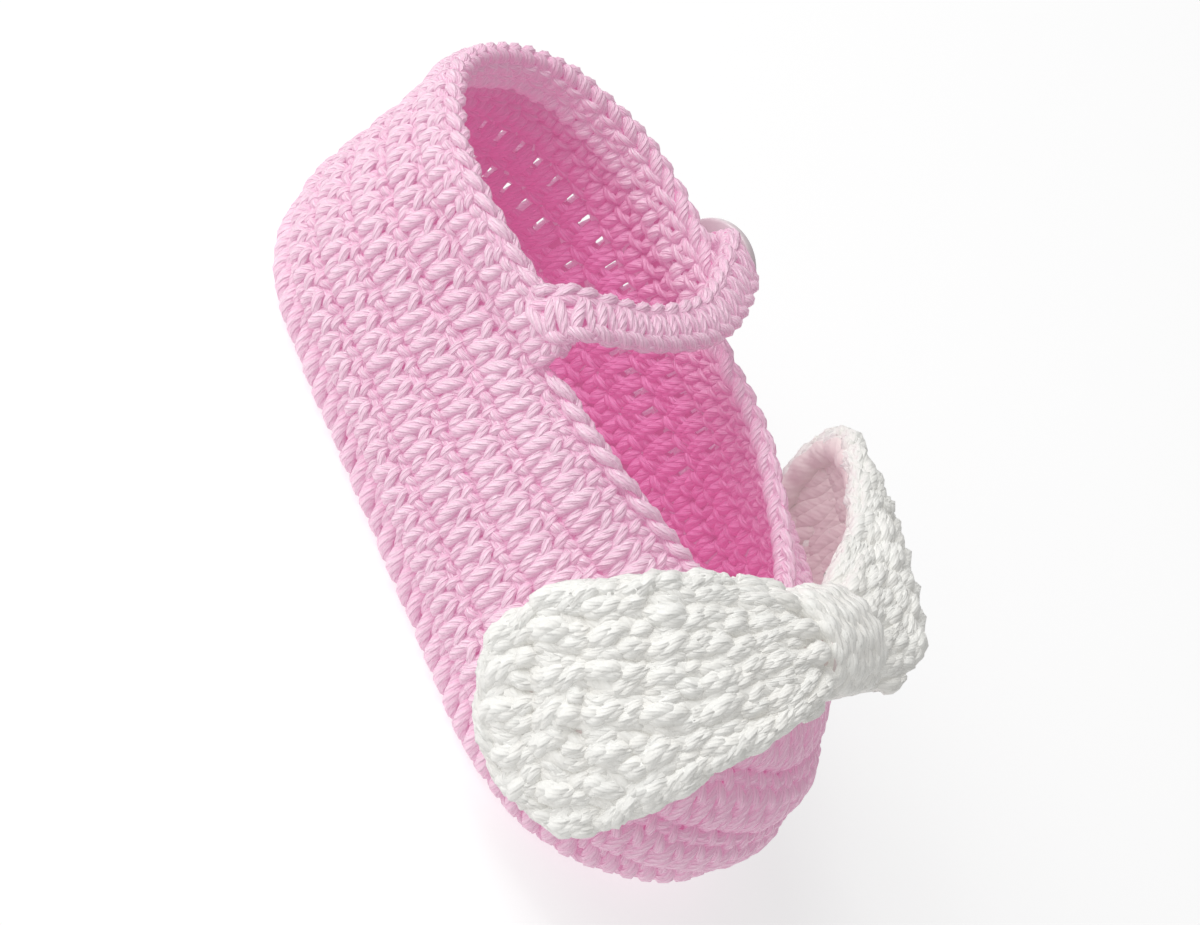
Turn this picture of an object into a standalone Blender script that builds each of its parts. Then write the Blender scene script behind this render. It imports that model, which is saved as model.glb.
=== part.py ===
"""A crocheted baby bootie of the bar-shoe kind, for the left foot.

The foot lies along X with the toe at +X, the outer side of the foot is +Y, and the sole
rests on Z = 0. Sizes below are in millimetres and are turned into metres as meshes are made.
"""

from collections import namedtuple

import bmesh
import bpy
import numpy as np

MM = 0.001
OBJECT_NAME = "crochet_baby_bootie"

# Main sizes of the foot form
SOLE_LENGTH = 101.5
HEEL_WIDTH = 45.0
BALL_WIDTH = 52.0
HEEL_HEIGHT = 27.8
INSTEP_HEIGHT = 33.4
TOE_SPRING = 3.6
SPRING_START = 33.0
HEEL_SPRING = 1.2
HEEL_SPRING_START = -40.0

# Cloth
WALL = 2.6
SOLE_THICKNESS = 2.8
EDGE_HEIGHT = 5.0
SEAM_GAP = 0.3
ROUNDS = 4
ROUND_SWELL = 0.55

# Ankle band, strap and button
BAND_HEIGHT = 6.6
BAND_NEAR_END = -0.392
BAND_FAR_END = 0.398
STRAP_THICKNESS = 2.5
BUTTON_DIAMETER = 13.0
BUTTON_PLACE = (-20.4, 25.95, 31.4)

# Throat edging and bow
EDGING_NEAR_END = -0.396
EDGING_FAR_END = 0.402
KNOT_CENTRE = (34.3, 0.0, 38.55)
KNOT_LENGTH = 11.0
KNOT_ACROSS = 14.2
KNOT_TALL = 11.2
KNOT_WRAP = 1.9

# Mesh counts
TURN_STEPS = 72
ROUND_STEPS = 4
WING_STEPS = 16

# One row for each section of the last, from the heel round to the toe on one side.
# turn: share of the way round the sole edge; along, across: collar place as shares of half the
# length and half the ball width; climb: from heel height to instep height; swell: how far the
# wall stands out half way up, mm; wrap: how far over the wall bends by its top, degrees.
Section = namedtuple("Section", "name turn along across climb swell wrap")
SECTIONS = (
    Section("heel centre", 0.00, -1.043, 0.000, 0.00, 1.4, 30.0),
    Section("heel corner", 0.10, -0.975, 0.456, 0.14, 1.4, 30.0),
    Section("heel side", 0.21, -0.740, 0.788, 0.34, 1.5, 30.0),
    Section("strap", 0.38, -0.215, 0.780, 0.62, 1.7, 30.0),
    Section("waist", 0.53, 0.066, 0.742, 0.80, 1.8, 38.0),
    Section("ball", 0.70, 0.372, 0.505, 0.98, 1.7, 62.0),
    Section("toe corner", 0.86, 0.524, 0.300, 0.90, 1.3, 82.0),
    Section("toe centre", 1.00, 0.583, 0.000, 0.84, 1.3, 90.0),
)

# The sole's skin from its top edge inwards: how far inside the sole edge, and the height there.
EdgeRow = namedtuple("EdgeRow", "name inset height")
EDGE_ROWS = (
    EdgeRow("top edge", 0.1, EDGE_HEIGHT - SEAM_GAP),
    EdgeRow("rib", -0.4, 3.2),
    EdgeRow("under rib", 1.0, 1.2),
    EdgeRow("tread edge", 4.0, 0.0),
    EdgeRow("tread", 9.0, 0.0),
    EdgeRow("tread middle", 18.0, 0.0),
)

# The strap's middle line from its root in the band on the inner side to its buttoned end.
StrapRow = namedtuple("StrapRow", "name x y z width")
STRAP_ROWS = (
    StrapRow("root", -13.7, -20.1, 34.2, 7.6),
    StrapRow("rise", -13.5, -19.7, 36.6, 7.9),
    StrapRow("turn in", -12.6, -18.2, 38.6, 7.9),
    StrapRow("inner side", -10.9, -14.0, 39.6, 7.5),
    StrapRow("inner span", -9.2, -8.0, 40.0, 7.0),
    StrapRow("middle", -8.6, 0.0, 40.2, 6.8),
    StrapRow("outer span", -9.8, 8.0, 40.0, 6.9),
    StrapRow("outer side", -13.2, 15.0, 39.6, 7.2),
    StrapRow("over edge", -16.5, 19.6, 39.3, 7.8),
    StrapRow("turn down", -18.6, 22.5, 38.0, 8.4),
    StrapRow("lap", -19.7, 23.6, 35.2, 9.0),
    StrapRow("button", -20.3, 23.9, 31.6, 9.4),
    StrapRow("end", -20.6, 24.2, 28.2, 7.8),
    StrapRow("tip", -20.7, 24.3, 26.8, 4.2),
)

# The bow's band from the tip of its inner wing to the tip of its outer wing.
# toe_in, toe_down: how the wing's width turns from straight along the foot.
# cup: how far the wing's edges bend back toward the shoe.
BowRow = namedtuple("BowRow", "name x y z width thick toe_in toe_down cup")
BOW_ROWS = (
    BowRow("inner tip", 31.4, -28.9, 8.3, 9.0, 2.4, 0.10, -0.05, 0.3),
    BowRow("inner hem", 31.3, -29.2, 10.2, 18.0, 3.2, 0.10, -0.08, 0.8),
    BowRow("inner end", 31.2, -29.3, 13.6, 25.5, 3.6, 0.11, -0.12, 1.3),
    BowRow("inner low", 31.4, -29.0, 18.6, 29.4, 3.8, 0.12, -0.16, 1.6),
    BowRow("inner broad", 31.9, -28.0, 24.2, 29.6, 3.9, 0.13, -0.18, 1.7),
    BowRow("inner side", 32.5, -25.4, 30.0, 27.8, 4.0, 0.13, -0.16, 1.6),
    BowRow("inner shoulder", 33.2, -20.8, 34.8, 25.4, 4.2, 0.10, -0.10, 1.5),
    BowRow("inner gather", 33.8, -13.6, 38.2, 21.4, 5.4, 0.04, 0.00, 1.2),
    BowRow("inner neck", 34.3, -7.4, 38.9, 15.4, 7.4, 0.00, 0.00, 0.4),
    BowRow("inner knot end", 34.3, -5.7, 38.6, 8.4, 5.4, 0.00, 0.00, 0.0),
    BowRow("outer knot end", 34.3, 5.7, 38.6, 8.4, 5.4, 0.00, 0.00, 0.0),
    BowRow("outer neck", 33.9, 7.4, 39.3, 15.4, 7.4, -0.06, 0.00, 0.4),
    BowRow("outer gather", 30.6, 12.6, 41.3, 21.6, 5.2, -0.18, 0.02, 1.0),
    BowRow("outer crest", 25.2, 17.8, 41.7, 27.0, 4.3, -0.28, 0.02, 1.2),
    BowRow("outer fall", 21.8, 22.6, 39.4, 29.4, 4.0, -0.26, 0.00, 1.5),
    BowRow("outer broad", 20.2, 26.4, 35.0, 29.8, 3.9, -0.20, -0.04, 1.6),
    BowRow("outer low", 19.4, 28.4, 29.2, 28.2, 3.8, -0.14, -0.08, 1.5),
    BowRow("outer end", 19.1, 29.2, 23.8, 24.4, 3.6, -0.10, -0.08, 1.2),
    BowRow("outer hem", 19.0, 29.4, 20.2, 17.4, 3.2, -0.08, -0.06, 0.8),
    BowRow("outer tip", 19.0, 29.3, 18.2, 8.6, 2.4, -0.08, -0.04, 0.3),
)

# Half sections of the band, the edging, the knot's wrap and the button.
# out: from the wall's outer face; up: along the wall from its top edge.
BeadRow = namedtuple("BeadRow", "out up")
BAND_SECTION = (
    BeadRow(-0.1, SEAM_GAP),
    BeadRow(0.25, 2.0),
    BeadRow(-0.1, 3.9),
    BeadRow(0.35, 5.2),
    BeadRow(-0.5, BAND_HEIGHT),
    BeadRow(-2.1, BAND_HEIGHT),
    BeadRow(-2.9, 5.2),
    BeadRow(-2.5, 3.9),
    BeadRow(-2.5, SEAM_GAP),
)
EDGING_SECTION = (
    BeadRow(-0.2, SEAM_GAP),
    BeadRow(0.4, 1.2),
    BeadRow(-0.1, 2.3),
    BeadRow(-1.3, 2.7),
    BeadRow(-2.5, 2.3),
    BeadRow(-3.0, 1.2),
    BeadRow(-2.4, SEAM_GAP),
)
ButtonRow = namedtuple("ButtonRow", "radius height")
BUTTON_PROFILE = (
    ButtonRow(0.70, 0.0),
    ButtonRow(0.94, 0.4),
    ButtonRow(1.00, 1.1),
    ButtonRow(0.90, 1.9),
    ButtonRow(0.66, 2.5),
    ButtonRow(0.34, 2.8),
)

CLOTH_PINK = (0.83, 0.40, 0.58, 1.0)
CLOTH_WHITE = (0.84, 0.83, 0.80, 1.0)
BUTTON_PINK = (0.88, 0.66, 0.74, 1.0)


def smooth_through(knots, values, places):
    """Values at the places on a smooth curve through the knots."""
    slopes = np.gradient(values, knots)
    left = np.clip(np.searchsorted(knots, places, side="right") - 1, 0, len(knots) - 2)
    span = knots[left + 1] - knots[left]
    part = (places - knots[left]) / span
    rise = part * part * (3.0 - 2.0 * part)
    ease_in = part * (1.0 - part) ** 2 * span * slopes[left]
    ease_out = part * part * (part - 1.0) * span * slopes[left + 1]
    return values[left] * (1.0 - rise) + values[left + 1] * rise + ease_in + ease_out


def section_column(column, turns, flips=False):
    """A column of the section table carried round both sides of the shoe."""
    knots = np.array([row.turn for row in SECTIONS])
    values = np.array([getattr(row, column) for row in SECTIONS])
    sign = -1.0 if flips else 1.0
    knots = np.concatenate([-knots[:0:-1], knots, 2.0 - knots[-2::-1]])
    values = np.concatenate([sign * values[:0:-1], values, sign * values[-2::-1]])
    return smooth_through(knots, values, turns)


def sole_edge(turns):
    """Points and outward directions on the sole's outline: a heel arc and a toe arc joined."""
    heel_radius = HEEL_WIDTH / 2.0
    toe_radius = BALL_WIDTH / 2.0
    heel_x = heel_radius - SOLE_LENGTH / 2.0
    toe_x = SOLE_LENGTH / 2.0 - toe_radius
    flare = np.arcsin((toe_radius - heel_radius) / (toe_x - heel_x))
    heel_arc = (np.pi / 2.0 - flare) * heel_radius
    side = (toe_x - heel_x) * np.cos(flare)
    toe_arc = (np.pi / 2.0 + flare) * toe_radius
    way = np.abs(turns) * (heel_arc + side + toe_arc)
    angle = np.pi / 2.0 + flare + np.maximum(heel_arc - way, 0.0) / heel_radius
    angle = angle - np.maximum(way - heel_arc - side, 0.0) / toe_radius
    share = np.clip((way - heel_arc) / side, 0.0, 1.0)
    radius = heel_radius + share * (toe_radius - heel_radius)
    hand = np.where(turns < 0.0, -1.0, 1.0)
    out_x = np.cos(angle)
    out_y = np.sin(angle) * hand
    return heel_x + share * (toe_x - heel_x) + radius * out_x, radius * out_y, out_x, out_y


def sole_lift(x):
    """How far the sole lifts off the floor toward the toe and the back of the heel."""
    toe_run = SOLE_LENGTH / 2.0 - SPRING_START
    heel_run = SOLE_LENGTH / 2.0 + HEEL_SPRING_START
    toe = TOE_SPRING * (np.maximum(x - SPRING_START, 0.0) / toe_run) ** 2
    heel = HEEL_SPRING * (np.maximum(HEEL_SPRING_START - x, 0.0) / heel_run) ** 2
    return toe + heel


def wall_points(turns, rises):
    """Outer face of the upper, a row for each rise (0 at the sole, 1 at the collar)."""
    edge_x, edge_y, out_x, out_y = sole_edge(turns)
    foot = EDGE_HEIGHT + sole_lift(edge_x)
    top_x = section_column("along", turns) * SOLE_LENGTH / 2.0
    top_y = section_column("across", turns, flips=True) * BALL_WIDTH / 2.0
    top_z = HEEL_HEIGHT + section_column("climb", turns) * (INSTEP_HEIGHT - HEEL_HEIGHT)
    swell = section_column("swell", turns)
    wrap = np.radians(section_column("wrap", turns))
    shares = np.linspace(0.0, 1.0, 41)[:, None]
    lift = np.sin(shares * wrap) / np.sin(wrap)
    lean = (1.0 - np.cos(shares * wrap)) / (1.0 - np.cos(wrap))
    belly = swell * np.sin(np.pi * np.sqrt(shares))
    x = edge_x + (top_x - edge_x) * lean + out_x * belly
    y = edge_y + (top_y - edge_y) * lean + out_y * belly
    z = foot + (top_z - foot) * lift
    fine = np.stack([x, y, z], axis=-1)
    steps = np.linalg.norm(np.diff(fine, axis=0), axis=-1)
    travel = np.concatenate([np.zeros((1, len(turns))), np.cumsum(steps, axis=0)])
    points = np.empty((len(rises), len(turns), 3))
    for column in range(len(turns)):
        reach = travel[:, column] / travel[-1, column]
        for axis in range(3):
            points[:, column, axis] = np.interp(rises, reach, fine[:, column, axis])
    return points


def grid_normals(points):
    """Outward directions of a closed grid of wall points."""
    around = np.roll(points, -1, axis=1) - np.roll(points, 1, axis=1)
    upward = np.gradient(points, axis=0)
    normals = np.cross(upward, around)
    normals = normals / np.linalg.norm(normals, axis=-1, keepdims=True)
    outward = normals[0, :, :2] * points[0, :, :2]
    return normals * np.sign(outward.sum())


def collar_frame(turns):
    """Top edge of the upper with its outward direction and the way the wall runs there."""
    near = wall_points(turns, np.array([0.95, 1.0]))
    step = 0.004
    ahead = wall_points(turns + step, np.array([1.0]))[0]
    behind = wall_points(turns - step, np.array([1.0]))[0]
    along = ahead - behind
    upward = near[1] - near[0]
    upward = upward / np.linalg.norm(upward, axis=1, keepdims=True)
    outward = np.cross(upward, along)
    outward = outward / np.linalg.norm(outward, axis=1, keepdims=True)
    return near[1], outward, upward


def new_object(name, mesh, collection, colour):
    """An object of its own material in the collection."""
    material = bpy.data.materials.new(name + "_material")
    material.use_nodes = True
    shader = material.node_tree.nodes["Principled BSDF"]
    shader.inputs["Base Color"].default_value = colour
    shader.inputs["Roughness"].default_value = 0.7
    mesh.materials.append(material)
    made = bpy.data.objects.new(name, mesh)
    collection.objects.link(made)
    return made


def mesh_from(name, build):
    """A mesh filled by the build function, its faces turned outward."""
    mesh = bpy.data.meshes.new(name)
    work = bmesh.new()
    build(work)
    bmesh.ops.recalc_face_normals(work, faces=work.faces)
    work.to_mesh(mesh)
    work.free()
    return mesh


def add_rings(work, rings, closed_path=False):
    """Joins rings of points, in millimetres, by bands of faces; returns the rows of vertices."""
    rows = []
    for ring in rings:
        rows.append([work.verts.new(point * MM) for point in ring])
    count = len(rows[0])
    pairs = list(zip(rows[:-1], rows[1:]))
    if closed_path:
        pairs.append((rows[-1], rows[0]))
    for lower, upper in pairs:
        for index in range(count):
            after = (index + 1) % count
            work.faces.new((lower[index], lower[after], upper[after], upper[index]))
    return rows


def add_bar(work, rings):
    """A closed bar through the rings, capped at both ends."""
    rows = add_rings(work, rings)
    work.faces.new(rows[0])
    work.faces.new(rows[-1])


def loop_turns():
    """Evenly spaced places round the shoe."""
    return np.arange(TURN_STEPS) * 2.0 / TURN_STEPS - 1.0


def build_upper(work):
    """The outer face of the upper with its rounds standing out between grooves."""
    rises = np.linspace(0.0, 1.0, ROUNDS * ROUND_STEPS + 1)
    points = wall_points(loop_turns(), rises)
    ridge = ROUND_SWELL * np.abs(np.sin(np.pi * ROUNDS * rises)) ** 0.7
    points = points + grid_normals(points) * ridge[:, None, None]
    add_rings(work, points)


def build_sole(work):
    """The underside of the sole with its turned-up edge, as one skin."""
    edge_x, edge_y, out_x, out_y = sole_edge(loop_turns())
    rings = []
    for row in EDGE_ROWS:
        x = edge_x - row.inset * out_x
        y = edge_y - row.inset * out_y
        rings.append(np.stack([x, y, row.height + sole_lift(x)], axis=-1))
    rows = add_rings(work, rings)
    work.faces.new(rows[-1])


def collar_bar(section, turns, upright):
    """Rings of a bead section carried along the top edge of the upper."""
    top, outward, upward = collar_frame(turns)
    rise = upward * (1.0 - upright) + np.array([0.0, 0.0, upright])
    rise = rise / np.linalg.norm(rise, axis=1, keepdims=True)
    rings = []
    for place, side, lift in zip(top, outward, rise):
        rings.append(np.array([place + side * bead.out + lift * bead.up for bead in section]))
    return rings


def build_band(work):
    """The ankle band that stands on the collar round the heel."""
    turns = np.linspace(BAND_NEAR_END, BAND_FAR_END, 37)
    add_bar(work, collar_bar(BAND_SECTION, turns, 0.7))


def build_edging(work):
    """The edging on the throat from the strap's root round the toe to the outer side."""
    turns = np.linspace(EDGING_FAR_END, 2.0 + EDGING_NEAR_END, 49)
    turns = np.where(turns > 1.0, turns - 2.0, turns)
    add_bar(work, collar_bar(EDGING_SECTION, turns, 0.0))


def flat_ring(centre, across, through, width, thick, count, cup=0.0):
    """A flat rounded section: full at the middle, rounded at both edges, bent back by the cup."""
    angles = np.arange(count) * 2.0 * np.pi / count
    wide = np.sign(np.cos(angles)) * np.abs(np.cos(angles)) ** 0.85
    deep = np.sign(np.sin(angles)) * np.abs(np.sin(angles)) ** 0.6
    depth = deep * thick / 2.0 - cup * wide * wide
    return centre + np.outer(wide, across) * width / 2.0 + np.outer(depth, through)


def unit(vector):
    """The vector at length one."""
    return vector / np.linalg.norm(vector)


def build_strap(work):
    """The strap from the band over the opening to the outer side."""
    middle = np.array([(row.x, row.y, row.z) for row in STRAP_ROWS])
    ways = np.gradient(middle, axis=0)
    rings = []
    for row, centre, way in zip(STRAP_ROWS, middle, ways):
        way = unit(way)
        across = unit(np.array([1.0, 0.0, 0.0]) - way * way[0])
        through = np.cross(across, way)
        rings.append(flat_ring(centre, across, through, row.width, STRAP_THICKNESS, 12))
    add_bar(work, rings)


def build_bow(work):
    """Both wings of the bow and the gathered middle between them."""
    middle = np.array([(row.x, row.y, row.z) for row in BOW_ROWS])
    ways = np.gradient(middle, axis=0)
    rings = []
    for row, centre, way in zip(BOW_ROWS, middle, ways):
        across = unit(np.array([1.0, row.toe_in, row.toe_down]))
        through = unit(np.cross(across, unit(way)))
        ring = flat_ring(centre, across, through, row.width, row.thick, WING_STEPS, row.cup)
        rings.append(ring)
    add_bar(work, rings)


def build_knot(work):
    """The wrap round the gathered middle of the bow."""
    centre = np.array(KNOT_CENTRE)
    half = KNOT_LENGTH / 2.0
    rings = []
    for angle in np.arange(24) * 2.0 * np.pi / 24:
        outward = np.array([np.cos(angle), 0.0, np.sin(angle)])
        reach = np.array([outward[0] * KNOT_ACROSS / 2.0, 0.0, outward[2] * KNOT_TALL / 2.0])
        ring = []
        for share, drop in ((-1.0, 0.9), (-0.7, 0.2), (0.0, 0.0), (0.7, 0.2), (1.0, 0.9)):
            ring.append(centre + reach - outward * drop + np.array([0.0, share * half, 0.0]))
        for share in (0.9, -0.9):
            ring.append(centre + reach - outward * KNOT_WRAP + np.array([0.0, share * half, 0.0]))
        rings.append(np.array(ring))
    add_rings(work, rings, closed_path=True)


def build_button(work):
    """A plain domed button, its back against the strap's end."""
    centre = np.array(BUTTON_PLACE)
    rings = []
    for row in BUTTON_PROFILE:
        ring = []
        for angle in np.arange(24) * 2.0 * np.pi / 24:
            reach = row.radius * BUTTON_DIAMETER / 2.0
            ring.append(centre + np.array([reach * np.cos(angle), row.height, reach * np.sin(angle)]))
        rings.append(np.array(ring))
    add_bar(work, rings)


def thicken(made, thickness):
    """Gives an open skin its real thickness, inward from its outer face."""
    solid = made.modifiers.new("thickness", "SOLIDIFY")
    solid.thickness = thickness * MM
    solid.offset = -1.0
    solid.use_even_offset = True
    solid.use_rim = True


def main():
    for old in list(bpy.data.objects):
        bpy.data.objects.remove(old)
    parts = bpy.data.collections.new(OBJECT_NAME)
    tools = bpy.data.collections.new("joining_pieces")
    bpy.context.scene.collection.children.link(parts)
    bpy.context.scene.collection.children.link(tools)

    sole = new_object("sole", mesh_from("sole", build_sole), parts, CLOTH_PINK)
    thicken(sole, SOLE_THICKNESS)
    upper = new_object("upper", mesh_from("upper", build_upper), parts, CLOTH_PINK)
    thicken(upper, WALL)

    band = new_object("ankle_strap", mesh_from("ankle_strap", build_band), parts, CLOTH_PINK)
    strap = new_object("strap_bar", mesh_from("strap_bar", build_strap), tools, CLOTH_PINK)
    strap.hide_render = True
    strap.display_type = "WIRE"
    join = band.modifiers.new("strap", "BOOLEAN")
    join.operation = "UNION"
    join.solver = "EXACT"
    join.object = strap

    new_object("throat_edging", mesh_from("throat_edging", build_edging), parts, CLOTH_PINK)
    new_object("button", mesh_from("button", build_button), parts, BUTTON_PINK)
    new_object("bow_band", mesh_from("bow_band", build_bow), parts, CLOTH_WHITE)
    new_object("bow_knot", mesh_from("bow_knot", build_knot), parts, CLOTH_WHITE)


main()
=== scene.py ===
"""The looks of a crocheted baby bootie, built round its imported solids.

Lengths in the tables are in millimetres. The toe is at +X, the outer side of the foot at +Y,
and the sole rests on the floor at Z = 0.
"""

import math
from collections import namedtuple

import bpy
import numpy as np
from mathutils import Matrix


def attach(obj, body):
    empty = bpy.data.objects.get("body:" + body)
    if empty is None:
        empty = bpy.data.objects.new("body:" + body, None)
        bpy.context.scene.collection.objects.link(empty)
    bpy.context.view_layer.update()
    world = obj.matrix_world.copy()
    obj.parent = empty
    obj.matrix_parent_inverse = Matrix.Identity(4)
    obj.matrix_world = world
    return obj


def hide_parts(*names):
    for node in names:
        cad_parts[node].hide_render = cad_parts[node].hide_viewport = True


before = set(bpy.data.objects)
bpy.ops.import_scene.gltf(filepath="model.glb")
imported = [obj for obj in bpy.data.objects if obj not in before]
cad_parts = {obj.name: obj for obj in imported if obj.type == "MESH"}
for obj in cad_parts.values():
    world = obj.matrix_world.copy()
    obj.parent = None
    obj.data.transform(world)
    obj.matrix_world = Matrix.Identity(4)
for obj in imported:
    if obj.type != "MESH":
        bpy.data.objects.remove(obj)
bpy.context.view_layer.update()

bl_info = {
    "name": "Crochet baby bootie",
    "version": (1, 0, 0),
    "blender": (4, 5, 0),
    "location": "3D View > Sidebar > Bootie",
    "description": "Crochets a baby bootie round its solids, stitch by stitch",
    "category": "Add Mesh",
}

MM = 0.001
TURN = 2.0 * np.pi

# The last: the same sizes and sections that the solids are made from
SOLE_LENGTH = 101.5
HEEL_WIDTH = 45.0
BALL_WIDTH = 52.0
HEEL_HEIGHT = 27.8
INSTEP_HEIGHT = 33.4
TOE_SPRING = 3.6
SPRING_START = 33.0
HEEL_SPRING = 1.2
HEEL_SPRING_START = -40.0
WALL = 2.6
EDGE_HEIGHT = 5.0
ROUNDS = 4
# Ends of the ankle band and of the throat's edging, in turns from the heel, inner side below 0
BAND_NEAR_END = -0.392
BAND_FAR_END = 0.398
EDGING_NEAR_END = -0.396
EDGING_FAR_END = 0.402
# How far the band's far end is drawn back and the edging's runs on, so that both end under the strap
BAND_TUCK = 0.03
EDGING_TUCK = 0.046
# The band's core is drawn back where x and y are above these and z is below, and this share of
# its way past that x is left
TUCK_EDGE = (-12.6, 14.0, 38.0)
TUCK_LEFT = 0.02
STRAP_THICKNESS = 2.5
BUTTON_PLACE = (-20.4, 25.95, 31.4)
BUTTON_DIAMETER = 13.0
BUTTON_RIM = 1.2
BUTTON_BEVEL = 0.35
BUTTON_SIDES = 48
# Insets and lifts of the steps that dome the button's face
BUTTON_DOME = ((0.6, 0.75), (1.4, 0.6), (2.0, 0.25), (1.4, 0.06))
KNOT_CENTRE = (34.3, 0.0, 38.55)
KNOT_LENGTH = 11.0
KNOT_ACROSS = 14.2
KNOT_TALL = 11.2
KNOT_WRAPS = 6
KNOT_LUMPS = 11
KNOT_STEPS = 57
# Girth of a wrap and how much its lumps add, how far it leans over the knot, and how unevenly
KNOT_GIRTH = 1.25
KNOT_LUMP = 0.17
KNOT_LEAN = (0.9, 0.35)
# How much the knot narrows toward its ends, and how unevenly
KNOT_NARROW = 0.10
KNOT_UNEVEN = 0.02
# How far the core under each piece's strands is drawn in
SOLE_CORE = 1.15
STRAP_CORE = 0.8
EDGING_CORE = 0.95
BOW_CORE = 1.5
KNOT_CORE = 0.5
# Points of a solid nearer to each other than this are merged in its core
WELD = 0.02

Section = namedtuple("Section", "name turn along across climb swell wrap")
SECTIONS = (
    Section("heel centre", 0.00, -1.043, 0.000, 0.00, 1.4, 30.0),
    Section("heel corner", 0.10, -0.975, 0.456, 0.14, 1.4, 30.0),
    Section("heel side", 0.21, -0.740, 0.788, 0.34, 1.5, 30.0),
    Section("strap", 0.38, -0.215, 0.780, 0.62, 1.7, 30.0),
    Section("waist", 0.53, 0.066, 0.742, 0.80, 1.8, 38.0),
    Section("ball", 0.70, 0.372, 0.505, 0.98, 1.7, 62.0),
    Section("toe corner", 0.86, 0.524, 0.300, 0.90, 1.3, 82.0),
    Section("toe centre", 1.00, 0.583, 0.000, 0.84, 1.3, 90.0),
)

StrapRow = namedtuple("StrapRow", "name x y z width")
STRAP_ROWS = (
    StrapRow("root", -13.7, -20.1, 34.2, 7.6),
    StrapRow("rise", -13.5, -19.7, 36.6, 7.9),
    StrapRow("turn in", -12.6, -18.2, 38.6, 7.9),
    StrapRow("inner side", -10.9, -14.0, 39.6, 7.5),
    StrapRow("inner span", -9.2, -8.0, 40.0, 7.0),
    StrapRow("middle", -8.6, 0.0, 40.2, 6.8),
    StrapRow("outer span", -9.8, 8.0, 40.0, 6.9),
    StrapRow("outer side", -13.2, 15.0, 39.6, 7.2),
    StrapRow("over edge", -16.5, 19.6, 39.3, 7.8),
    StrapRow("turn down", -18.6, 22.5, 38.0, 8.4),
    StrapRow("lap", -19.7, 23.6, 35.2, 9.0),
    StrapRow("button", -20.3, 23.9, 31.6, 9.4),
    StrapRow("end", -20.6, 24.2, 28.2, 7.8),
    StrapRow("tip", -20.7, 24.3, 26.8, 4.2),
)

BowRow = namedtuple("BowRow", "name x y z width thick toe_in toe_down cup")
BOW_ROWS = (
    BowRow("inner tip", 31.4, -28.9, 8.3, 9.0, 2.4, 0.10, -0.05, 0.3),
    BowRow("inner hem", 31.3, -29.2, 10.2, 18.0, 3.2, 0.10, -0.08, 0.8),
    BowRow("inner end", 31.2, -29.3, 13.6, 25.5, 3.6, 0.11, -0.12, 1.3),
    BowRow("inner low", 31.4, -29.0, 18.6, 29.4, 3.8, 0.12, -0.16, 1.6),
    BowRow("inner broad", 31.9, -28.0, 24.2, 29.6, 3.9, 0.13, -0.18, 1.7),
    BowRow("inner side", 32.5, -25.4, 30.0, 27.8, 4.0, 0.13, -0.16, 1.6),
    BowRow("inner shoulder", 33.2, -20.8, 34.8, 25.4, 4.2, 0.10, -0.10, 1.5),
    BowRow("inner gather", 33.8, -13.6, 38.2, 21.4, 5.4, 0.04, 0.00, 1.2),
    BowRow("inner neck", 34.3, -7.4, 38.9, 15.4, 7.4, 0.00, 0.00, 0.4),
    BowRow("inner knot end", 34.3, -5.7, 38.6, 8.4, 5.4, 0.00, 0.00, 0.0),
    BowRow("outer knot end", 34.3, 5.7, 38.6, 8.4, 5.4, 0.00, 0.00, 0.0),
    BowRow("outer neck", 33.9, 7.4, 39.3, 15.4, 7.4, -0.06, 0.00, 0.4),
    BowRow("outer gather", 30.6, 12.6, 41.3, 21.6, 5.2, -0.18, 0.02, 1.0),
    BowRow("outer crest", 25.2, 17.8, 41.7, 27.0, 4.3, -0.28, 0.02, 1.2),
    BowRow("outer fall", 21.8, 22.6, 39.4, 29.4, 4.0, -0.26, 0.00, 1.5),
    BowRow("outer broad", 20.2, 26.4, 35.0, 29.8, 3.9, -0.20, -0.04, 1.6),
    BowRow("outer low", 19.4, 28.4, 29.2, 28.2, 3.8, -0.14, -0.08, 1.5),
    BowRow("outer end", 19.1, 29.2, 23.8, 24.4, 3.6, -0.10, -0.08, 1.2),
    BowRow("outer hem", 19.0, 29.4, 20.2, 17.4, 3.2, -0.08, -0.06, 0.8),
    BowRow("outer tip", 19.0, 29.3, 18.2, 8.6, 2.4, -0.08, -0.04, 0.3),
)
# Rows of that table where a wing starts and ends, and how far its ribs run toward the toe
# for each step toward the knot
Wing = namedtuple("Wing", "tip neck lean")
INNER_WING = Wing(0, 8, 0.416)
OUTER_WING = Wing(19, 11, 0.0)
WING_STEPS = 120
# Grid of a wing's face: places along it and across it, and how far it runs past the tip
FACE_PLACES = 145
FACE_SIDES = 61
TIP_SPARE = 0.2
# Share of a wing's length, next to the knot, over which the ribs' lean fades
LEAN_FADE = 0.45
# How far the ribs sway, how that sway shifts from rib to rib, and the least depth of a face's
# strands from the bow's middle
RIB_WAVE = 0.5
RIB_SHIFT = 0.31
BOW_FACE = 0.55
# How a wing's thickness falls off toward its edges, and how deep the strands lie, in radii
EDGE_ROUND = 2.0 / 0.85
EDGE_FALL = 0.3
FACE_SINK = 1.6
# Thinnest yarn where the ribs crowd, how much less they thin than they crowd, and how unevenly the
# rows are spaced
CROWDED_GIRTH = 0.62
CROWDED_GAIN = 1.05
ROW_UNEVEN = 0.05
# How far inside the outline the strands of a wing's front and of its back stay, and how much is
# left of their way past it
FRONT_INSET = 1.3
BACK_INSET = 2.6
CRUSH = 0.06
# How far inside the outline the middle of a stitch has to lie
CELL_MARGIN = 0.4
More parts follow.
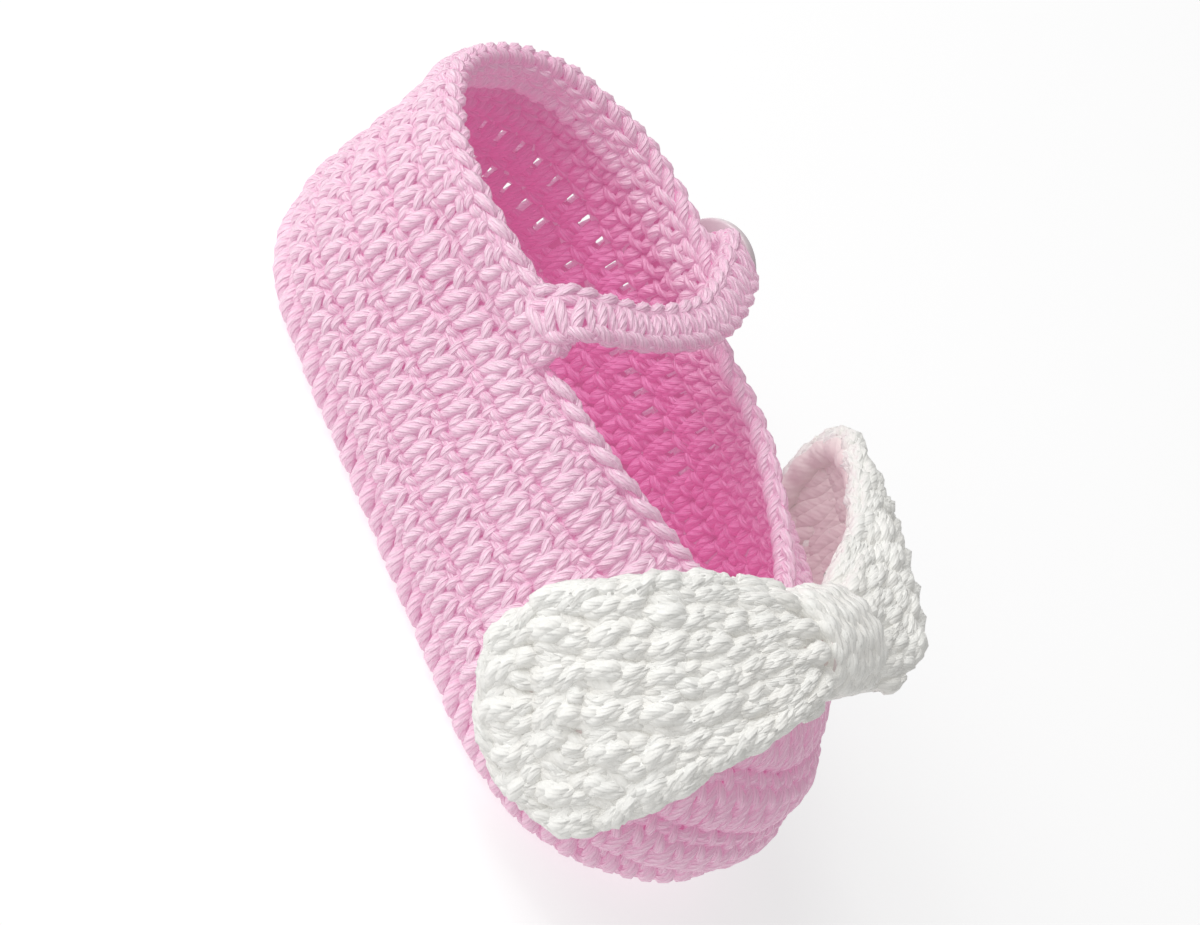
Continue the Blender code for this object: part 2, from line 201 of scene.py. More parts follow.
# How far the chain round a wing lies inside the outline and in front of the wing's middle, and how
# much of the wing's cup it follows
RIM_INSET = 2.1
RIM_FRONT = 0.55
RIM_CUP = 0.9
RIM_STEPS = 200
RIM_HOP = 4
# Strands beside that chain: how far toward the wing's middle and to its front, girth and height
RimStrand = namedtuple("RimStrand", "inward front girth tall")
RIM_UNDER = RimStrand(0.5, 0.35, 1.0, 1.3)
RIM_LINING = RimStrand(0.8, -0.45, 1.9, 0.92)
# Painted shade on those strands
RIM_SHADE = 0.4
# Share of the way from a wing's tip to the knot where the lining strand ends and over which it
# thins, its least girth, and the size and length of its lumps
LINING_END = 0.72
LINING_FADE = 0.15
LINING_LEAST = 0.2
LINING_LUMP = 0.10
LINING_LUMP_STEPS = 9.0
# Rows of the bow's table where the pleats beside the knot start and end, and their least spread
INNER_GATHER = (7.3, 9.4)
OUTER_GATHER = (11.7, 9.6)
NECK_ACROSS = KNOT_ACROSS - 1.6
NECK_TALL = KNOT_TALL - 4.6
PLEATS = 11
PLEAT_STEPS = 14
PLEAT_GIRTH = (1.45, 1.15)
# How the pleats swell from their start, cut off at 1
PLEAT_RAMP = (0.35, 2.4)
PLEAT_SHADE = 0.3
PLEAT_LUMP = 0.12
PLEAT_UNEVEN = 0.10
# How far the pleats lie inside the neck's edges and inside its faces, in radii of the yarn
PLEAT_SIDE_SINK = 0.2
PLEAT_SINK = 1.6

# Rounds and part of the shoe, in turns from the heel, worked loosely enough to let light through
PINHOLE_ROUNDS = (1, 2)
PINHOLE_SPAN = (-0.10, 0.52)
PINHOLE_GIRTH = 0.92
PINHOLE_CHANCE = 0.85
# The way that light takes through the wall, how far it runs there, and a limit to its slant
PINHOLE_WAY = (0.22, -0.81, 0.54)
PINHOLE_DEPTH = 2.0
PINHOLE_EASE = 0.15

# Grid of the faces round the shoe, and of the upper's height
ROUND_STEPS = 336
RISE_STEPS = 41
# Least width of a stitch on the upper and on the sole's edge
UPPER_PITCH = 2.7
EDGE_PITCH = 2.5
# How deep the strands' middles lie under the outer and the inner face
STITCH_DEPTH = 0.75
LINING_DEPTH = 0.35
# How much a round bulges between its seams, and the bulge that leaves a strand where it was
BILLOW = 0.5
BILLOW_MEAN = 0.6
# The thin wall behind the stitches: how far it lies behind them, how thick it is, and how unevenly
# its slits are spaced along and up a round, in shares of a stitch
WALL_LIFT = -0.45
WALL_SHEET = 0.3
WALL_JITTER = (0.05, 0.13)
# How far the lining reaches down inside the sole's edge, as a share of the upper's height
LINING_REACH = 0.08

# Heights between which the lining turns paler toward the collar, painted light that falls in at the
# opening
COLLAR_LIGHT_FADE = (20.0, 36.0)

# Faces of the sole: where they start, in shares of the way in from the edge, and how high the
# middles of their strands lie at some insets from the edge
SoleFace = namedtuple("SoleFace", "start insets heights")
TREAD_FACE = SoleFace(0.06, (1.0, 4.0), (2.30, 1.32))
INSIDE_FACE = SoleFace(0.11, (2.9, 3.4, 5.0, 6.5), (3.70, 3.00, 2.15, 1.85))
# Deepest lift of the tread's strands, and rows of points across a face
TREAD_DEPTH = -0.45
FACE_ROWS = 25
# Share of the sole's half width that its first round leaves free, and a number of stitches that no
# round of the sole comes near
SOLE_MARGIN = 0.03
UNLIMITED = 400.0
# Insets from the sole's outline and heights of the rows of its side
SIDE_ROWS = ((2.8, 1.10), (1.6, 1.65), (0.9, 2.7), (0.75, 3.8), (0.85, 5.0))
# How far the sole's core is raised, so that the tread's strands stand out from it
CORE_LIFT = 0.40

# The ankle band: how upright it stands, its lowest and highest row, and how deep its faces lie
BAND_UPRIGHT = 0.7
BAND_STEPS = 161
BAND_RISE = (0.1, 4.6)
BAND_FRONT = 0.1
BAND_BACK = 2.5
# Where the chains on the band and on the throat lie, inward from the collar's edge and up from it
BAND_CHAIN_PLACE = (1.27, 5.40)
EDGING_CHAIN_PLACE = (1.55, 1.4)
EDGING_STEPS = 241
# Rows of points across the band and the strap
BELT_ROWS = 9
# The strap: how deep its posts lie, in radii, how much of its width its chains take up, and how far
# they lie inside its edges
STRAP_STEPS = 160
STRAP_SINK = 0.9
STRAP_MARGIN = 2.6
STRAP_CHAIN_INSET = 1.25
# How the strap's chains draw together toward the button's end
STRAP_TAPER = (-1.6, 1.0)
STRAP_TAPER_MOST = 0.8
# Places on the collar, in turns past the band's near end, where the strap's rear chain starts
STRAP_LEAD = (0.10, 0.07)

# Chain edges: length of a link, how far its loops lie from the middle, and their girth
Chain = namedtuple("Chain", "link ring girth")
BAND_CHAIN = Chain(3.0, 0.72, 1.48)
TOE_SIDE_CHAIN = Chain(3.0, 0.62, 1.40)
HEEL_SIDE_CHAIN = Chain(3.0, 0.64, 1.44)
THROAT_CHAIN = Chain(3.0, 0.74, 1.48)
BOW_CHAIN = Chain(8.0, 0.70, 1.45)

# The yarns' looks: ridges of the twist round a strand, turns in a millimetre, roughness, depth of
# the ridges, how much painted shade darkens their grooves, and the strength of the glow
YarnLook = namedtuple("YarnLook", "plies twist roughness relief streak glow")
PINK_LOOK = YarnLook(5.0, 0.75, 0.34, 0.13, 0.32, 0.32)
INSIDE_LOOK = YarnLook(5.0, 0.75, 0.42, 0.10, 0.20, 0.24)
WHITE_LOOK = YarnLook(4.0, 0.55, 0.50, 0.09, 0.12, 0.235)
BACK_LOOK = YarnLook(4.0, 0.55, 0.55, 0.05, 0.08, 0.16)
PINK_BACKING_GLOW = 0.25
WHITE_BACKING_GLOW = 0.20
BACKING_RELIEF = 0.4
FLOOR_GLOW = 0.64
# How fine the patterns are, in spots to the metre
BLOTCH_SCALE = 420.0
SPECK_SCALE = 2600.0
BACKING_SCALE = 900.0
CLOUD_SCALE = 140.0
FLOOR_SCALE = 3.0

# The stage: the point that camera and lamps face, and the lamps' places from it and their sizes.
# The lamps and the floor are in metres.
AIM = (0.0, 0.0, 18.0)
FLOOR_SIZE = 6.0
SENSOR = 36.0
Lamp = namedtuple("Lamp", "name place size")
KEY_LAMP = Lamp("key_light", (-0.80, -0.35, 0.95), 0.8)
FILL_LAMP = Lamp("fill_light", (-0.70, -0.85, 0.45), 0.9)

# White yarn: each strand is a few plies wound round one another
PLIES = 4
PLY_PITCH = 9.0
PLY_GIRTH = 0.78
PLY_REACH = 0.42
PLY_VARIES = 0.07
# Painted shade on the side of a ply that turns in toward the cloth
PLY_SHADE = 0.15

# How unevenly a hand lays the strands of a stitch: across, up and off the face, and in girth
SLACK = (0.030, 0.018, 0.06)
SWAY = 0.7
GIRTH_VARIES = 0.06
LUMP = 0.07
# Lumps along a strand, its girth at the ends, and the lift past which it lies in full light
LUMPS = 1.4
END_GIRTH = 0.55
OPEN_LIFT = 0.30

# Stitch charts. A point is (across the stitch, up the round, lift off the face in mm).
Strand = namedtuple("Strand", "name girth points")
TALL_STITCH = (
    Strand("leg", 1.40, (
        (0.00, -0.04, -1.00), (0.10, 0.08, 0.05), (0.14, 0.26, 0.34),
        (0.13, 0.48, 0.38), (0.14, 0.66, 0.18), (0.26, 0.80, -0.90))),
    Strand("short leg", 1.15, (
        (0.50, 0.46, -1.00), (0.57, 0.34, 0.08), (0.66, 0.22, 0.30),
        (0.74, 0.08, 0.12), (0.74, -0.04, -1.00))),
    Strand("wrap", 1.15, (
        (0.26, 0.80, -0.80), (0.44, 0.69, 0.24), (0.64, 0.60, 0.38),
        (0.84, 0.50, 0.28), (1.04, 0.36, -0.90))),
    Strand("neck", 1.12, (
        (0.46, 1.08, -1.00), (0.63, 0.94, 0.05), (0.82, 0.80, 0.20), (1.00, 0.62, -1.00))),
    Strand("top loop", 1.08, (
        (-0.26, 0.78, -1.00), (0.00, 0.87, 0.00), (0.24, 0.93, 0.14), (0.58, 1.06, -1.00))),
)
UNDER_STITCH = (
    Strand("under right", 1.35, (
        (0.98, -0.10, -0.90), (0.94, 0.20, -0.20), (0.92, 0.50, -0.20), (0.98, 0.92, -0.90))),
    Strand("under loop", 1.25, (
        (-0.10, 0.72, -0.90), (0.30, 0.82, -0.30), (0.70, 0.90, -0.30), (1.10, 1.00, -0.90))),
    Strand("seam loop", 1.10, (
        (-0.10, 0.90, -0.90), (0.28, 0.98, -0.36), (0.70, 1.05, -0.36), (1.10, 1.14, -0.90))),
    Strand("under leg", 1.20, (
        (0.52, -0.10, -0.90), (0.44, 0.20, -0.40), (0.42, 0.50, -0.40), (0.50, 0.88, -0.90))),
)
TALL_BACK = (
    Strand("low post", 1.42, (
        (0.16, -0.12, -0.90), (0.20, 0.08, 0.12), (0.22, 0.30, 0.16), (0.30, 0.54, -0.80))),
    Strand("second low post", 1.38, (
        (0.84, -0.10, -0.90), (0.80, 0.12, 0.08), (0.78, 0.34, 0.12), (0.70, 0.58, -0.80))),
    Strand("wrap", 1.10, (
        (-0.06, 0.40, -0.80), (0.26, 0.50, 0.16), (0.62, 0.58, 0.18), (1.06, 0.68, -0.80))),
    Strand("high post", 1.35, (
        (0.32, 0.52, -0.80), (0.30, 0.68, 0.06), (0.26, 0.82, 0.08), (0.20, 1.00, -0.80))),
    Strand("second high post", 1.32, (
        (0.80, 0.56, -0.80), (0.84, 0.70, 0.04), (0.80, 0.84, 0.06), (0.74, 1.00, -0.80))),
    Strand("bar", 1.10, (
        (-0.14, 0.84, -0.80), (0.20, 0.92, 0.14), (0.60, 0.98, 0.16), (1.10, 1.06, -0.80))),
)
LOOSE_BACK = (
    Strand("post", 1.38, (
        (0.06, -0.12, -0.90), (0.14, 0.20, 0.10), (0.10, 0.60, 0.16), (0.20, 1.02, -0.80))),
    Strand("second post", 1.38, (
        (0.94, -0.10, -0.90), (0.86, 0.20, 0.05), (0.90, 0.60, 0.10), (0.80, 1.02, -0.80))),
    Strand("wrap", 1.15, (
        (-0.06, 0.24, -0.80), (0.26, 0.34, 0.16), (0.62, 0.42, 0.16), (1.06, 0.52, -0.80))),
    Strand("bar", 1.20, (
        (-0.14, 0.90, -0.80), (0.20, 0.97, 0.10), (0.60, 1.02, 0.12), (1.10, 1.10, -0.80))),
    Strand("low bar", 1.20, (
        (0.10, 0.00, -0.80), (0.36, 0.10, -0.05), (0.60, 0.18, -0.05), (0.90, 0.28, -0.80))),
)
EDGE_STITCH = (
    Strand("slanted loop", 1.95, (
        (-0.26, 1.08, -0.60), (0.08, 0.84, -0.10), (0.48, 0.50, 0.32),
        (0.86, 0.18, 0.05), (1.14, -0.06, -0.60))),
    Strand("bead", 1.15, (
        (0.36, 1.22, -0.60), (0.50, 1.04, 0.05), (0.70, 0.86, 0.08), (0.92, 0.62, -0.60))),
    Strand("tread loop", 1.75, (
        (-0.06, -0.02, -0.90), (0.28, 0.10, 0.05), (0.64, 0.17, 0.08), (1.02, 0.28, -0.90))),
)
STRAP_STITCH = (
    Strand("left post", 1.28, (
        (0.42, -0.16, -0.90), (0.34, 0.16, 0.14), (0.24, 0.46, 0.20),
        (0.14, 0.74, 0.00), (0.08, 0.98, -0.90))),
    Strand("right post", 1.28, (
        (0.62, -0.16, -0.90), (0.70, 0.16, 0.14), (0.80, 0.46, 0.20),
        (0.90, 0.74, 0.00), (0.96, 0.98, -0.90))),
)
STRAP_UNDER = (
    Strand("high bar", 1.30, (
        (-0.14, 0.80, -0.50), (0.28, 0.84, -0.26), (0.70, 0.80, -0.26), (1.14, 0.84, -0.50))),
    Strand("low bar", 1.30, (
        (-0.14, 0.42, -0.50), (0.28, 0.46, -0.30), (0.70, 0.42, -0.30), (1.14, 0.46, -0.50))),
)
BOW_STITCH = (
    Strand("leaf", 1.60, (
        (0.70, -0.12, -0.65), (0.60, 0.12, 0.10), (0.51, 0.34, 0.38),
        (0.43, 0.56, 0.15), (0.34, 0.78, -0.65))),
    Strand("right leaf", 1.32, (
        (0.84, 0.44, -0.65), (0.75, 0.64, 0.10), (0.66, 0.84, 0.20), (0.54, 1.10, -0.65))),
    Strand("left leaf", 1.26, (
        (0.44, 0.60, -0.65), (0.34, 0.79, 0.18), (0.25, 0.94, 0.10), (0.12, 1.14, -0.65))),
    Strand("left loop", 1.30, (
        (-0.02, 0.66, -0.65), (0.10, 0.46, 0.05), (0.19, 0.24, 0.12), (0.17, -0.10, -0.65))),
    Strand("right loop", 1.28, (
        (1.02, 0.72, -0.65), (0.93, 0.50, 0.02), (0.88, 0.28, 0.05), (0.98, -0.02, -0.65))),
)
BOW_UNDER = (
    Strand("left rib", 1.50, (
        (0.24, -0.20, -0.22), (0.24, 0.30, -0.12), (0.24, 0.70, -0.12), (0.24, 1.20, -0.22))),
    Strand("right rib", 1.50, (
        (0.76, -0.20, -0.22), (0.76, 0.30, -0.12), (0.76, 0.70, -0.12), (0.76, 1.20, -0.22))),
)
BOW_BACK = (
    Strand("left rib", 1.50, (
        (0.16, -0.22, -0.06), (0.14, 0.30, 0.05), (0.18, 0.70, 0.05), (0.16, 1.22, -0.06))),
    Strand("middle rib", 1.50, (
        (0.50, -0.22, -0.06), (0.52, 0.30, 0.05), (0.48, 0.70, 0.05), (0.50, 1.22, -0.06))),
    Strand("right rib", 1.50, (
        (0.84, -0.22, -0.06), (0.82, 0.30, 0.05), (0.86, 0.70, 0.05), (0.84, 1.22, -0.06))),
)
# Loops of a link: where one starts and how far it reaches, in links, and its angles from outward
RopeStrand = namedtuple("RopeStrand", "name start reach first last")
ROPE = (
    RopeStrand("front loop", -0.20, 1.40, -70.0, 80.0),
    RopeStrand("back loop", 0.18, 1.40, 250.0, 100.0),
)
# Links left over at a chain's start, and at both its ends together, where the loops tail off
ROPE_LEAD = 0.32
ROPE_ENDS = 1.04
# Girth at a loop's ends, how near they come to the chain's middle, and how dark painted shade makes
# them
ROPE_END_GIRTH = 0.50
ROPE_PINCH = 0.62
ROPE_SHADE = 0.7
# How unevenly the loops are spaced, turned and spun
ROPE_UNEVEN = 0.04
ROPE_TILT = 0.06
ROPE_VARIES = 0.05


def unit(vectors):
    """The vectors at length one."""
    return vectors / np.maximum(np.linalg.norm(vectors, axis=-1, keepdims=True), 1e-9)


def smooth_through(knots, values, places):
    """Values at the places on a smooth curve through the knots."""
    values = np.asarray(values, dtype=float)
    slopes = np.gradient(values, knots, axis=0)
    left = np.clip(np.searchsorted(knots, places, side="right") - 1, 0, len(knots) - 2)
    shape = (-1,) + (1,) * (values.ndim - 1)
    span = (knots[left + 1] - knots[left]).reshape(shape)
    part = (places - knots[left]).reshape(shape) / span
    rise = part * part * (3.0 - 2.0 * part)
    ease_in = part * (1.0 - part) ** 2 * span * slopes[left]
    ease_out = part * part * (part - 1.0) * span * slopes[left + 1]
    return values[left] * (1.0 - rise) + values[left + 1] * rise + ease_in + ease_out


def travel_along(points):
    """The way walked from the first point to each of the points."""
    hops = np.linalg.norm(np.diff(points, axis=0), axis=-1)
    return np.concatenate([np.zeros((1,) + hops.shape[1:]), np.cumsum(hops, axis=0)])


def section_column(column, turns, flips=False):
    """A column of the section table carried round both sides of the shoe."""
    knots = np.array([row.turn for row in SECTIONS])
    values = np.array([getattr(row, column) for row in SECTIONS])
    sign = -1.0 if flips else 1.0
    knots = np.concatenate([-knots[:0:-1], knots, 2.0 - knots[-2::-1]])
    values = np.concatenate([sign * values[:0:-1], values, sign * values[-2::-1]])
    return smooth_through(knots, values, turns)


def sole_edge(turns):
    """Points, outward directions and bend radius of the sole's outline."""
    heel_radius = HEEL_WIDTH / 2.0
    toe_radius = BALL_WIDTH / 2.0
    heel_x = heel_radius - SOLE_LENGTH / 2.0
    toe_x = SOLE_LENGTH / 2.0 - toe_radius
    flare = np.arcsin((toe_radius - heel_radius) / (toe_x - heel_x))
    heel_arc = (np.pi / 2.0 - flare) * heel_radius
    side = (toe_x - heel_x) * np.cos(flare)
    toe_arc = (np.pi / 2.0 + flare) * toe_radius
    way = np.abs(turns) * (heel_arc + side + toe_arc)
    angle = np.pi / 2.0 + flare + np.maximum(heel_arc - way, 0.0) / heel_radius
    angle = angle - np.maximum(way - heel_arc - side, 0.0) / toe_radius
    share = np.clip((way - heel_arc) / side, 0.0, 1.0)
    radius = heel_radius + share * (toe_radius - heel_radius)
    hand = np.where(turns < 0.0, -1.0, 1.0)
    out_x = np.cos(angle)
    out_y = np.sin(angle) * hand
    x = heel_x + share * (toe_x - heel_x) + radius * out_x
    return x, radius * out_y, out_x, out_y, radius


def sole_lift(x):
    """How far the sole lifts off the floor toward the toe and the back of the heel."""
    toe_run = SOLE_LENGTH / 2.0 - SPRING_START
    heel_run = SOLE_LENGTH / 2.0 + HEEL_SPRING_START
    toe = TOE_SPRING * (np.maximum(x - SPRING_START, 0.0) / toe_run) ** 2
    heel = HEEL_SPRING * (np.maximum(HEEL_SPRING_START - x, 0.0) / heel_run) ** 2
    return toe + heel


def wall_points(turns, rises):
    """Outer face of the upper, a row for each rise (0 at the sole, 1 at the collar)."""
    edge_x, edge_y, out_x, out_y, _ = sole_edge(turns)
    foot = EDGE_HEIGHT + sole_lift(edge_x)
    top_x = section_column("along", turns) * SOLE_LENGTH / 2.0
    top_y = section_column("across", turns, flips=True) * BALL_WIDTH / 2.0
    top_z = HEEL_HEIGHT + section_column("climb", turns) * (INSTEP_HEIGHT - HEEL_HEIGHT)
    swell = section_column("swell", turns)
    wrap = np.radians(section_column("wrap", turns))
    shares = np.linspace(0.0, 1.0, RISE_STEPS)[:, None]
    lift = np.sin(shares * wrap) / np.sin(wrap)
    lean = (1.0 - np.cos(shares * wrap)) / (1.0 - np.cos(wrap))
    belly = swell * np.sin(np.pi * np.sqrt(shares))
    x = edge_x + (top_x - edge_x) * lean + out_x * belly
    y = edge_y + (top_y - edge_y) * lean + out_y * belly
    z = foot + (top_z - foot) * lift
    fine = np.stack([x, y, z], axis=-1)
    travel = travel_along(fine)
    points = np.empty((len(rises), len(turns), 3))
    for column in range(len(turns)):
        reach = travel[:, column] / travel[-1, column]
        for axis in range(3):
            points[:, column, axis] = np.interp(rises, reach, fine[:, column, axis])
    return points


def collar_frame(turns, upright):
    """Top edge of the upper, its outward direction and the way its edging rises."""
    near = wall_points(turns, np.array([0.95, 1.0]))
    step = 0.004
    ahead = wall_points(turns + step, np.array([1.0]))[0]
    behind = wall_points(turns - step, np.array([1.0]))[0]
    upward = unit(near[1] - near[0])
    outward = unit(np.cross(upward, ahead - behind))
    rise = unit(upward * (1.0 - upright) + np.array([0.0, 0.0, upright]))
    return near[1], outward, rise


def wrapped(turns):
    """Turns brought into the range from -1 to 1."""
    return (turns + 1.0) % 2.0 - 1.0


class Cloth:
    """A face of cloth: a fine grid of points, and the way it faces, in millimetres.

    The first way of the grid runs along the rounds, to the right as one looks at the face.
    """

    def __init__(self, points, loops=False, facing=None):
        self.points = points
        self.loops = loops
        if loops:
            along = np.roll(points, -1, axis=0) - np.roll(points, 1, axis=0)
        else:
            along = np.gradient(points, axis=0)
        outward = unit(np.cross(along, np.gradient(points, axis=1)))
        if facing is not None:
            outward = outward * np.sign((outward * facing).sum(axis=-1, keepdims=True))
        self.outward = outward

    def place(self, along, up, lift):
        """Points at shares along and up the grid, lifted off the face, and how it faces there."""
        columns, rows = self.points.shape[:2]
        if self.loops:
            x = (along % 1.0) * columns
            first = np.floor(x).astype(int) % columns
            second = (first + 1) % columns
            x_part = x - np.floor(x)
        else:
            x = along * (columns - 1)
            first = np.clip(np.floor(x).astype(int), 0, columns - 2)
            second = first + 1
            x_part = x - first
        y = up * (rows - 1)
        low = np.clip(np.floor(y).astype(int), 0, rows - 2)
        y_part = (y - low)[..., None]
        x_part = x_part[..., None]

        def blend(grid):
            lower = grid[first, low] * (1.0 - x_part) + grid[second, low] * x_part
            upper = grid[first, low + 1] * (1.0 - x_part) + grid[second, low + 1] * x_part
            return lower * (1.0 - y_part) + upper * y_part

        facing = unit(blend(self.outward))
        return blend(self.points) + facing * lift[..., None], facing


class YarnWork:
    """Collects strands of yarn as tubes and makes one mesh of them."""

    def __init__(self, seed):
        self.chance = np.random.default_rng(seed)
        self.points = []
        self.corners = []
        self.sizes = []
        self.wraps = []
        self.tones = []
        self.shade_depths = []
        self.count = 0

    def add(self, paths, facing, radii, shade_depths, sides, flat=1.0):
        """Tubes along paths, shaped [strand, step, 3], closed at both ends."""
        strands, steps = paths.shape[:2]
        way = unit(np.gradient(paths, axis=1))
        side = unit(np.cross(way, facing))
        lift = np.cross(side, way) * flat
        angles = np.arange(sides) * TURN / sides
        across = np.cos(angles)[:, None] * side[:, :, None, :]
        outward = across + np.sin(angles)[:, None] * lift[:, :, None, :]
        points = paths[:, :, None, :] + outward * radii[:, :, None, None]
        index = np.arange(strands * steps * sides).reshape(strands, steps, sides) + self.count
        after = np.roll(index, -1, axis=2)
        quads = np.stack([index[:, :-1], index[:, 1:], after[:, 1:], after[:, :-1]], axis=-1)
        travel = travel_along(paths.transpose(1, 0, 2)).T
        phase = self.chance.random((strands, 1, 1))
        start = np.arange(sides) / sides + phase
        u_low = np.broadcast_to(travel[:, :-1, None], quads.shape[:3])
        u_high = np.broadcast_to(travel[:, 1:, None], quads.shape[:3])
        v_low = np.broadcast_to(start, quads.shape[:3])
        v_high = v_low + 1.0 / sides
        quad_u = np.stack([u_low, u_high, u_high, u_low], axis=-1)
        quad_v = np.stack([v_low, v_low, v_high, v_high], axis=-1)
        caps = np.concatenate([index[:, 0], index[:, -1, ::-1]])
        self.points.append(points.reshape(-1, 3))
        self.corners += [quads.reshape(-1), caps.reshape(-1)]
        self.sizes += [np.full(quads.size // 4, 4), np.full(len(caps), sides)]
        self.wraps.append(np.stack([quad_u, quad_v], axis=-1).reshape(-1, 2))
        self.wraps.append(np.zeros((caps.size, 2)))
        tone = self.chance.random((strands, 1, 1))
        self.tones.append(np.broadcast_to(tone, index.shape).reshape(-1))
        self.shade_depths.append(np.broadcast_to(shade_depths[:, :, None], index.shape).reshape(-1))
        self.count += index.size

    def wind(self, paths, facing, radii, shade_depths, sides, flat, plies):
        """Strands as plies wound round one another, or as one tube each."""
        if plies == 1:
            self.add(paths, facing, radii, shade_depths, sides, flat)
            return
        way = unit(np.gradient(paths, axis=1))
        side = unit(np.cross(way, facing))
        lift = np.cross(side, way) * flat
        travel = travel_along(paths.transpose(1, 0, 2)).T
        start = self.chance.random((len(paths), 1))
        for ply in range(plies):
            angle = TURN * (travel / PLY_PITCH + start + ply / plies)
            reach = radii * self.chance.normal(PLY_REACH, PLY_VARIES, (len(paths), 1))
            shift = (np.cos(angle) * reach)[..., None] * side
            shift = shift + (np.sin(angle) * reach)[..., None] * lift
            # Painted shade where a ply turns in toward the cloth
            ply_shade_depths = np.clip(shade_depths + PLY_SHADE * (1.0 - np.sin(angle)), 0.0, 1.0)
            self.add(paths + shift, facing, radii * PLY_GIRTH, ply_shade_depths, sides)

    def lay(self, cloth, cells, chart, yarn, steps, sides,
            looseness=1.0, flat=0.8, plies=1, billow=0.0):
        """Lays the strands of one stitch chart in every cell of a face of cloth.

        Billow lifts the middle of the row and lowers its edges.
        """
        start, width, low, tall, girth = cells
        number = len(start)
        places = np.linspace(0.0, 1.0, steps)
        plump = END_GIRTH + (1.0 - END_GIRTH) * np.sin(np.pi * places) ** 0.5
        bend = np.sin(TURN * places)
        slack = np.array(SLACK) * looseness
        for strand in chart:
            knots = np.linspace(0.0, 1.0, len(strand.points))
            line = smooth_through(knots, strand.points, places)
            shift = self.chance.normal(0.0, 1.0, (number, 1, 3)) * slack
            sway = self.chance.normal(0.0, SWAY, (number, 1, 3)) * slack
            line = line + shift + sway * bend[:, None]
            crest = np.sin(np.pi * np.clip(line[:, :, 1], 0.0, 1.0))
            line[:, :, 2] += billow * (crest - BILLOW_MEAN)
            across = start[:, None] + width[:, None] * line[:, :, 0]
            up = low[:, None] + tall[:, None] * line[:, :, 1]
            swell = girth * self.chance.normal(1.0, GIRTH_VARIES, number)
            lumps = 1.0 + LUMP * np.sin(TURN * (LUMPS * places + self.chance.random((number, 1))))
            radii = yarn * strand.girth * plump * lumps * swell[:, None]
            paths, facing = cloth.place(across, up, line[:, :, 2])
            # Painted shade: the deeper a strand dives under the face, the darker it is painted
            shade_depths = np.clip(OPEN_LIFT - line[:, :, 2], 0.0, 1.0)
            self.wind(paths, facing, radii, shade_depths, sides, flat, plies)

    def rope(self, path, outward, upward, links, chain, yarn, steps, sides, plies=1):
        """A chain edge along a path: each link has two loops that slant up to its top."""
        girth = yarn * chain.girth
        knots = np.linspace(0.0, 1.0, len(path))
        share = np.linspace(0.0, 1.0, steps)
        eased = share * share * (3.0 - 2.0 * share)
        plump = ROPE_END_GIRTH + (1.0 - ROPE_END_GIRTH) * np.sin(np.pi * share) ** 0.6
        for strand in ROPE:
            first = np.arange(links)[:, None] + self.chance.normal(0.0, ROPE_UNEVEN, (links, 1))
            along = (first + strand.start + strand.reach * share + ROPE_LEAD) / (links + ROPE_ENDS)
            angle = np.radians(strand.first + (strand.last - strand.first) * eased)
            angle = angle + self.chance.normal(0.0, ROPE_TILT, (links, 1))
            reach = chain.ring * (ROPE_PINCH + (1.0 - ROPE_PINCH) * np.sin(np.pi * share))
            facing = np.cos(angle)[..., None] * spread(knots, outward, along)
            facing = facing + np.sin(angle)[..., None] * spread(knots, upward, along)
            paths = spread(knots, path, along) + facing * reach[:, None]
            swell = self.chance.normal(1.0, ROPE_VARIES, (links, 1))
            # Painted shade toward a loop's ends, where it goes under
            shade_depths = np.broadcast_to(ROPE_SHADE * (1.0 - np.sin(np.pi * share)), along.shape)
            self.wind(paths, unit(facing), girth * plump * swell, shade_depths, sides, 0.9, plies)

    def make(self, name):
        """The mesh object of all strands that were added."""
        mesh = bpy.data.meshes.new(name)
        corners = np.concatenate(self.corners).astype(np.int32)
        sizes = np.concatenate(self.sizes).astype(np.int32)
        starts = np.concatenate([[0], np.cumsum(sizes)[:-1]]).astype(np.int32)
        mesh.vertices.add(self.count)
        points = np.concatenate(self.points) * MM
        mesh.vertices.foreach_set("co", points.astype(np.float32).ravel())
        mesh.loops.add(len(corners))
        mesh.loops.foreach_set("vertex_index", corners)
        mesh.polygons.add(len(sizes))
        mesh.polygons.foreach_set("loop_start", starts)
        mesh.polygons.foreach_set("loop_total", sizes)
        mesh.polygons.foreach_set("use_smooth", np.ones(len(sizes), dtype=bool))
        wrap = mesh.uv_layers.new(name="yarn")
        wrap.data.foreach_set("uv", np.concatenate(self.wraps).astype(np.float32).ravel())
        # The depth column carries the painted shade of each point, the tone column the yarn's random
        # tone
        for label, values in (("tone", self.tones), ("depth", self.shade_depths)):
            column = mesh.attributes.new(label, "FLOAT", "POINT")
            column.data.foreach_set("value", np.concatenate(values).astype(np.float32))
        mesh.update(calc_edges=True)
        made = bpy.data.objects.new(name, mesh)
        bpy.context.scene.collection.objects.link(made)
        return made


def spread(knots, values, places):
    """Rows of a table of vectors at the places, which may be of any shape."""
    columns = [np.interp(places, knots, values[:, axis]) for axis in range(values.shape[1])]
    return np.stack(columns, axis=-1)


def even_path(points, count):
    """A smooth path through the points, resampled at even steps."""
    knots = travel_along(points)
    fine = smooth_through(knots, points, np.linspace(0.0, knots[-1], count * 4))
    travel = travel_along(fine)
    return spread(travel, fine, np.linspace(0.0, travel[-1], count)), travel[-1]


def upper_cloth(depth):
    """A face of the upper at a depth under its outer face; along runs right, seen from outside."""
    along = np.arange(ROUND_STEPS) / ROUND_STEPS
    rises = np.linspace(0.0, 1.0, RISE_STEPS)
    points = wall_points(wrapped(-2.0 * along), rises).transpose(1, 0, 2)
    face = Cloth(points, loops=True)
    # A quarter of the way round is the inner side, which faces toward -Y
    if face.outward[ROUND_STEPS // 4, RISE_STEPS // 4, 1] > 0.0:
        face.outward = -face.outward
    face.points = face.points - face.outward * depth
    return face


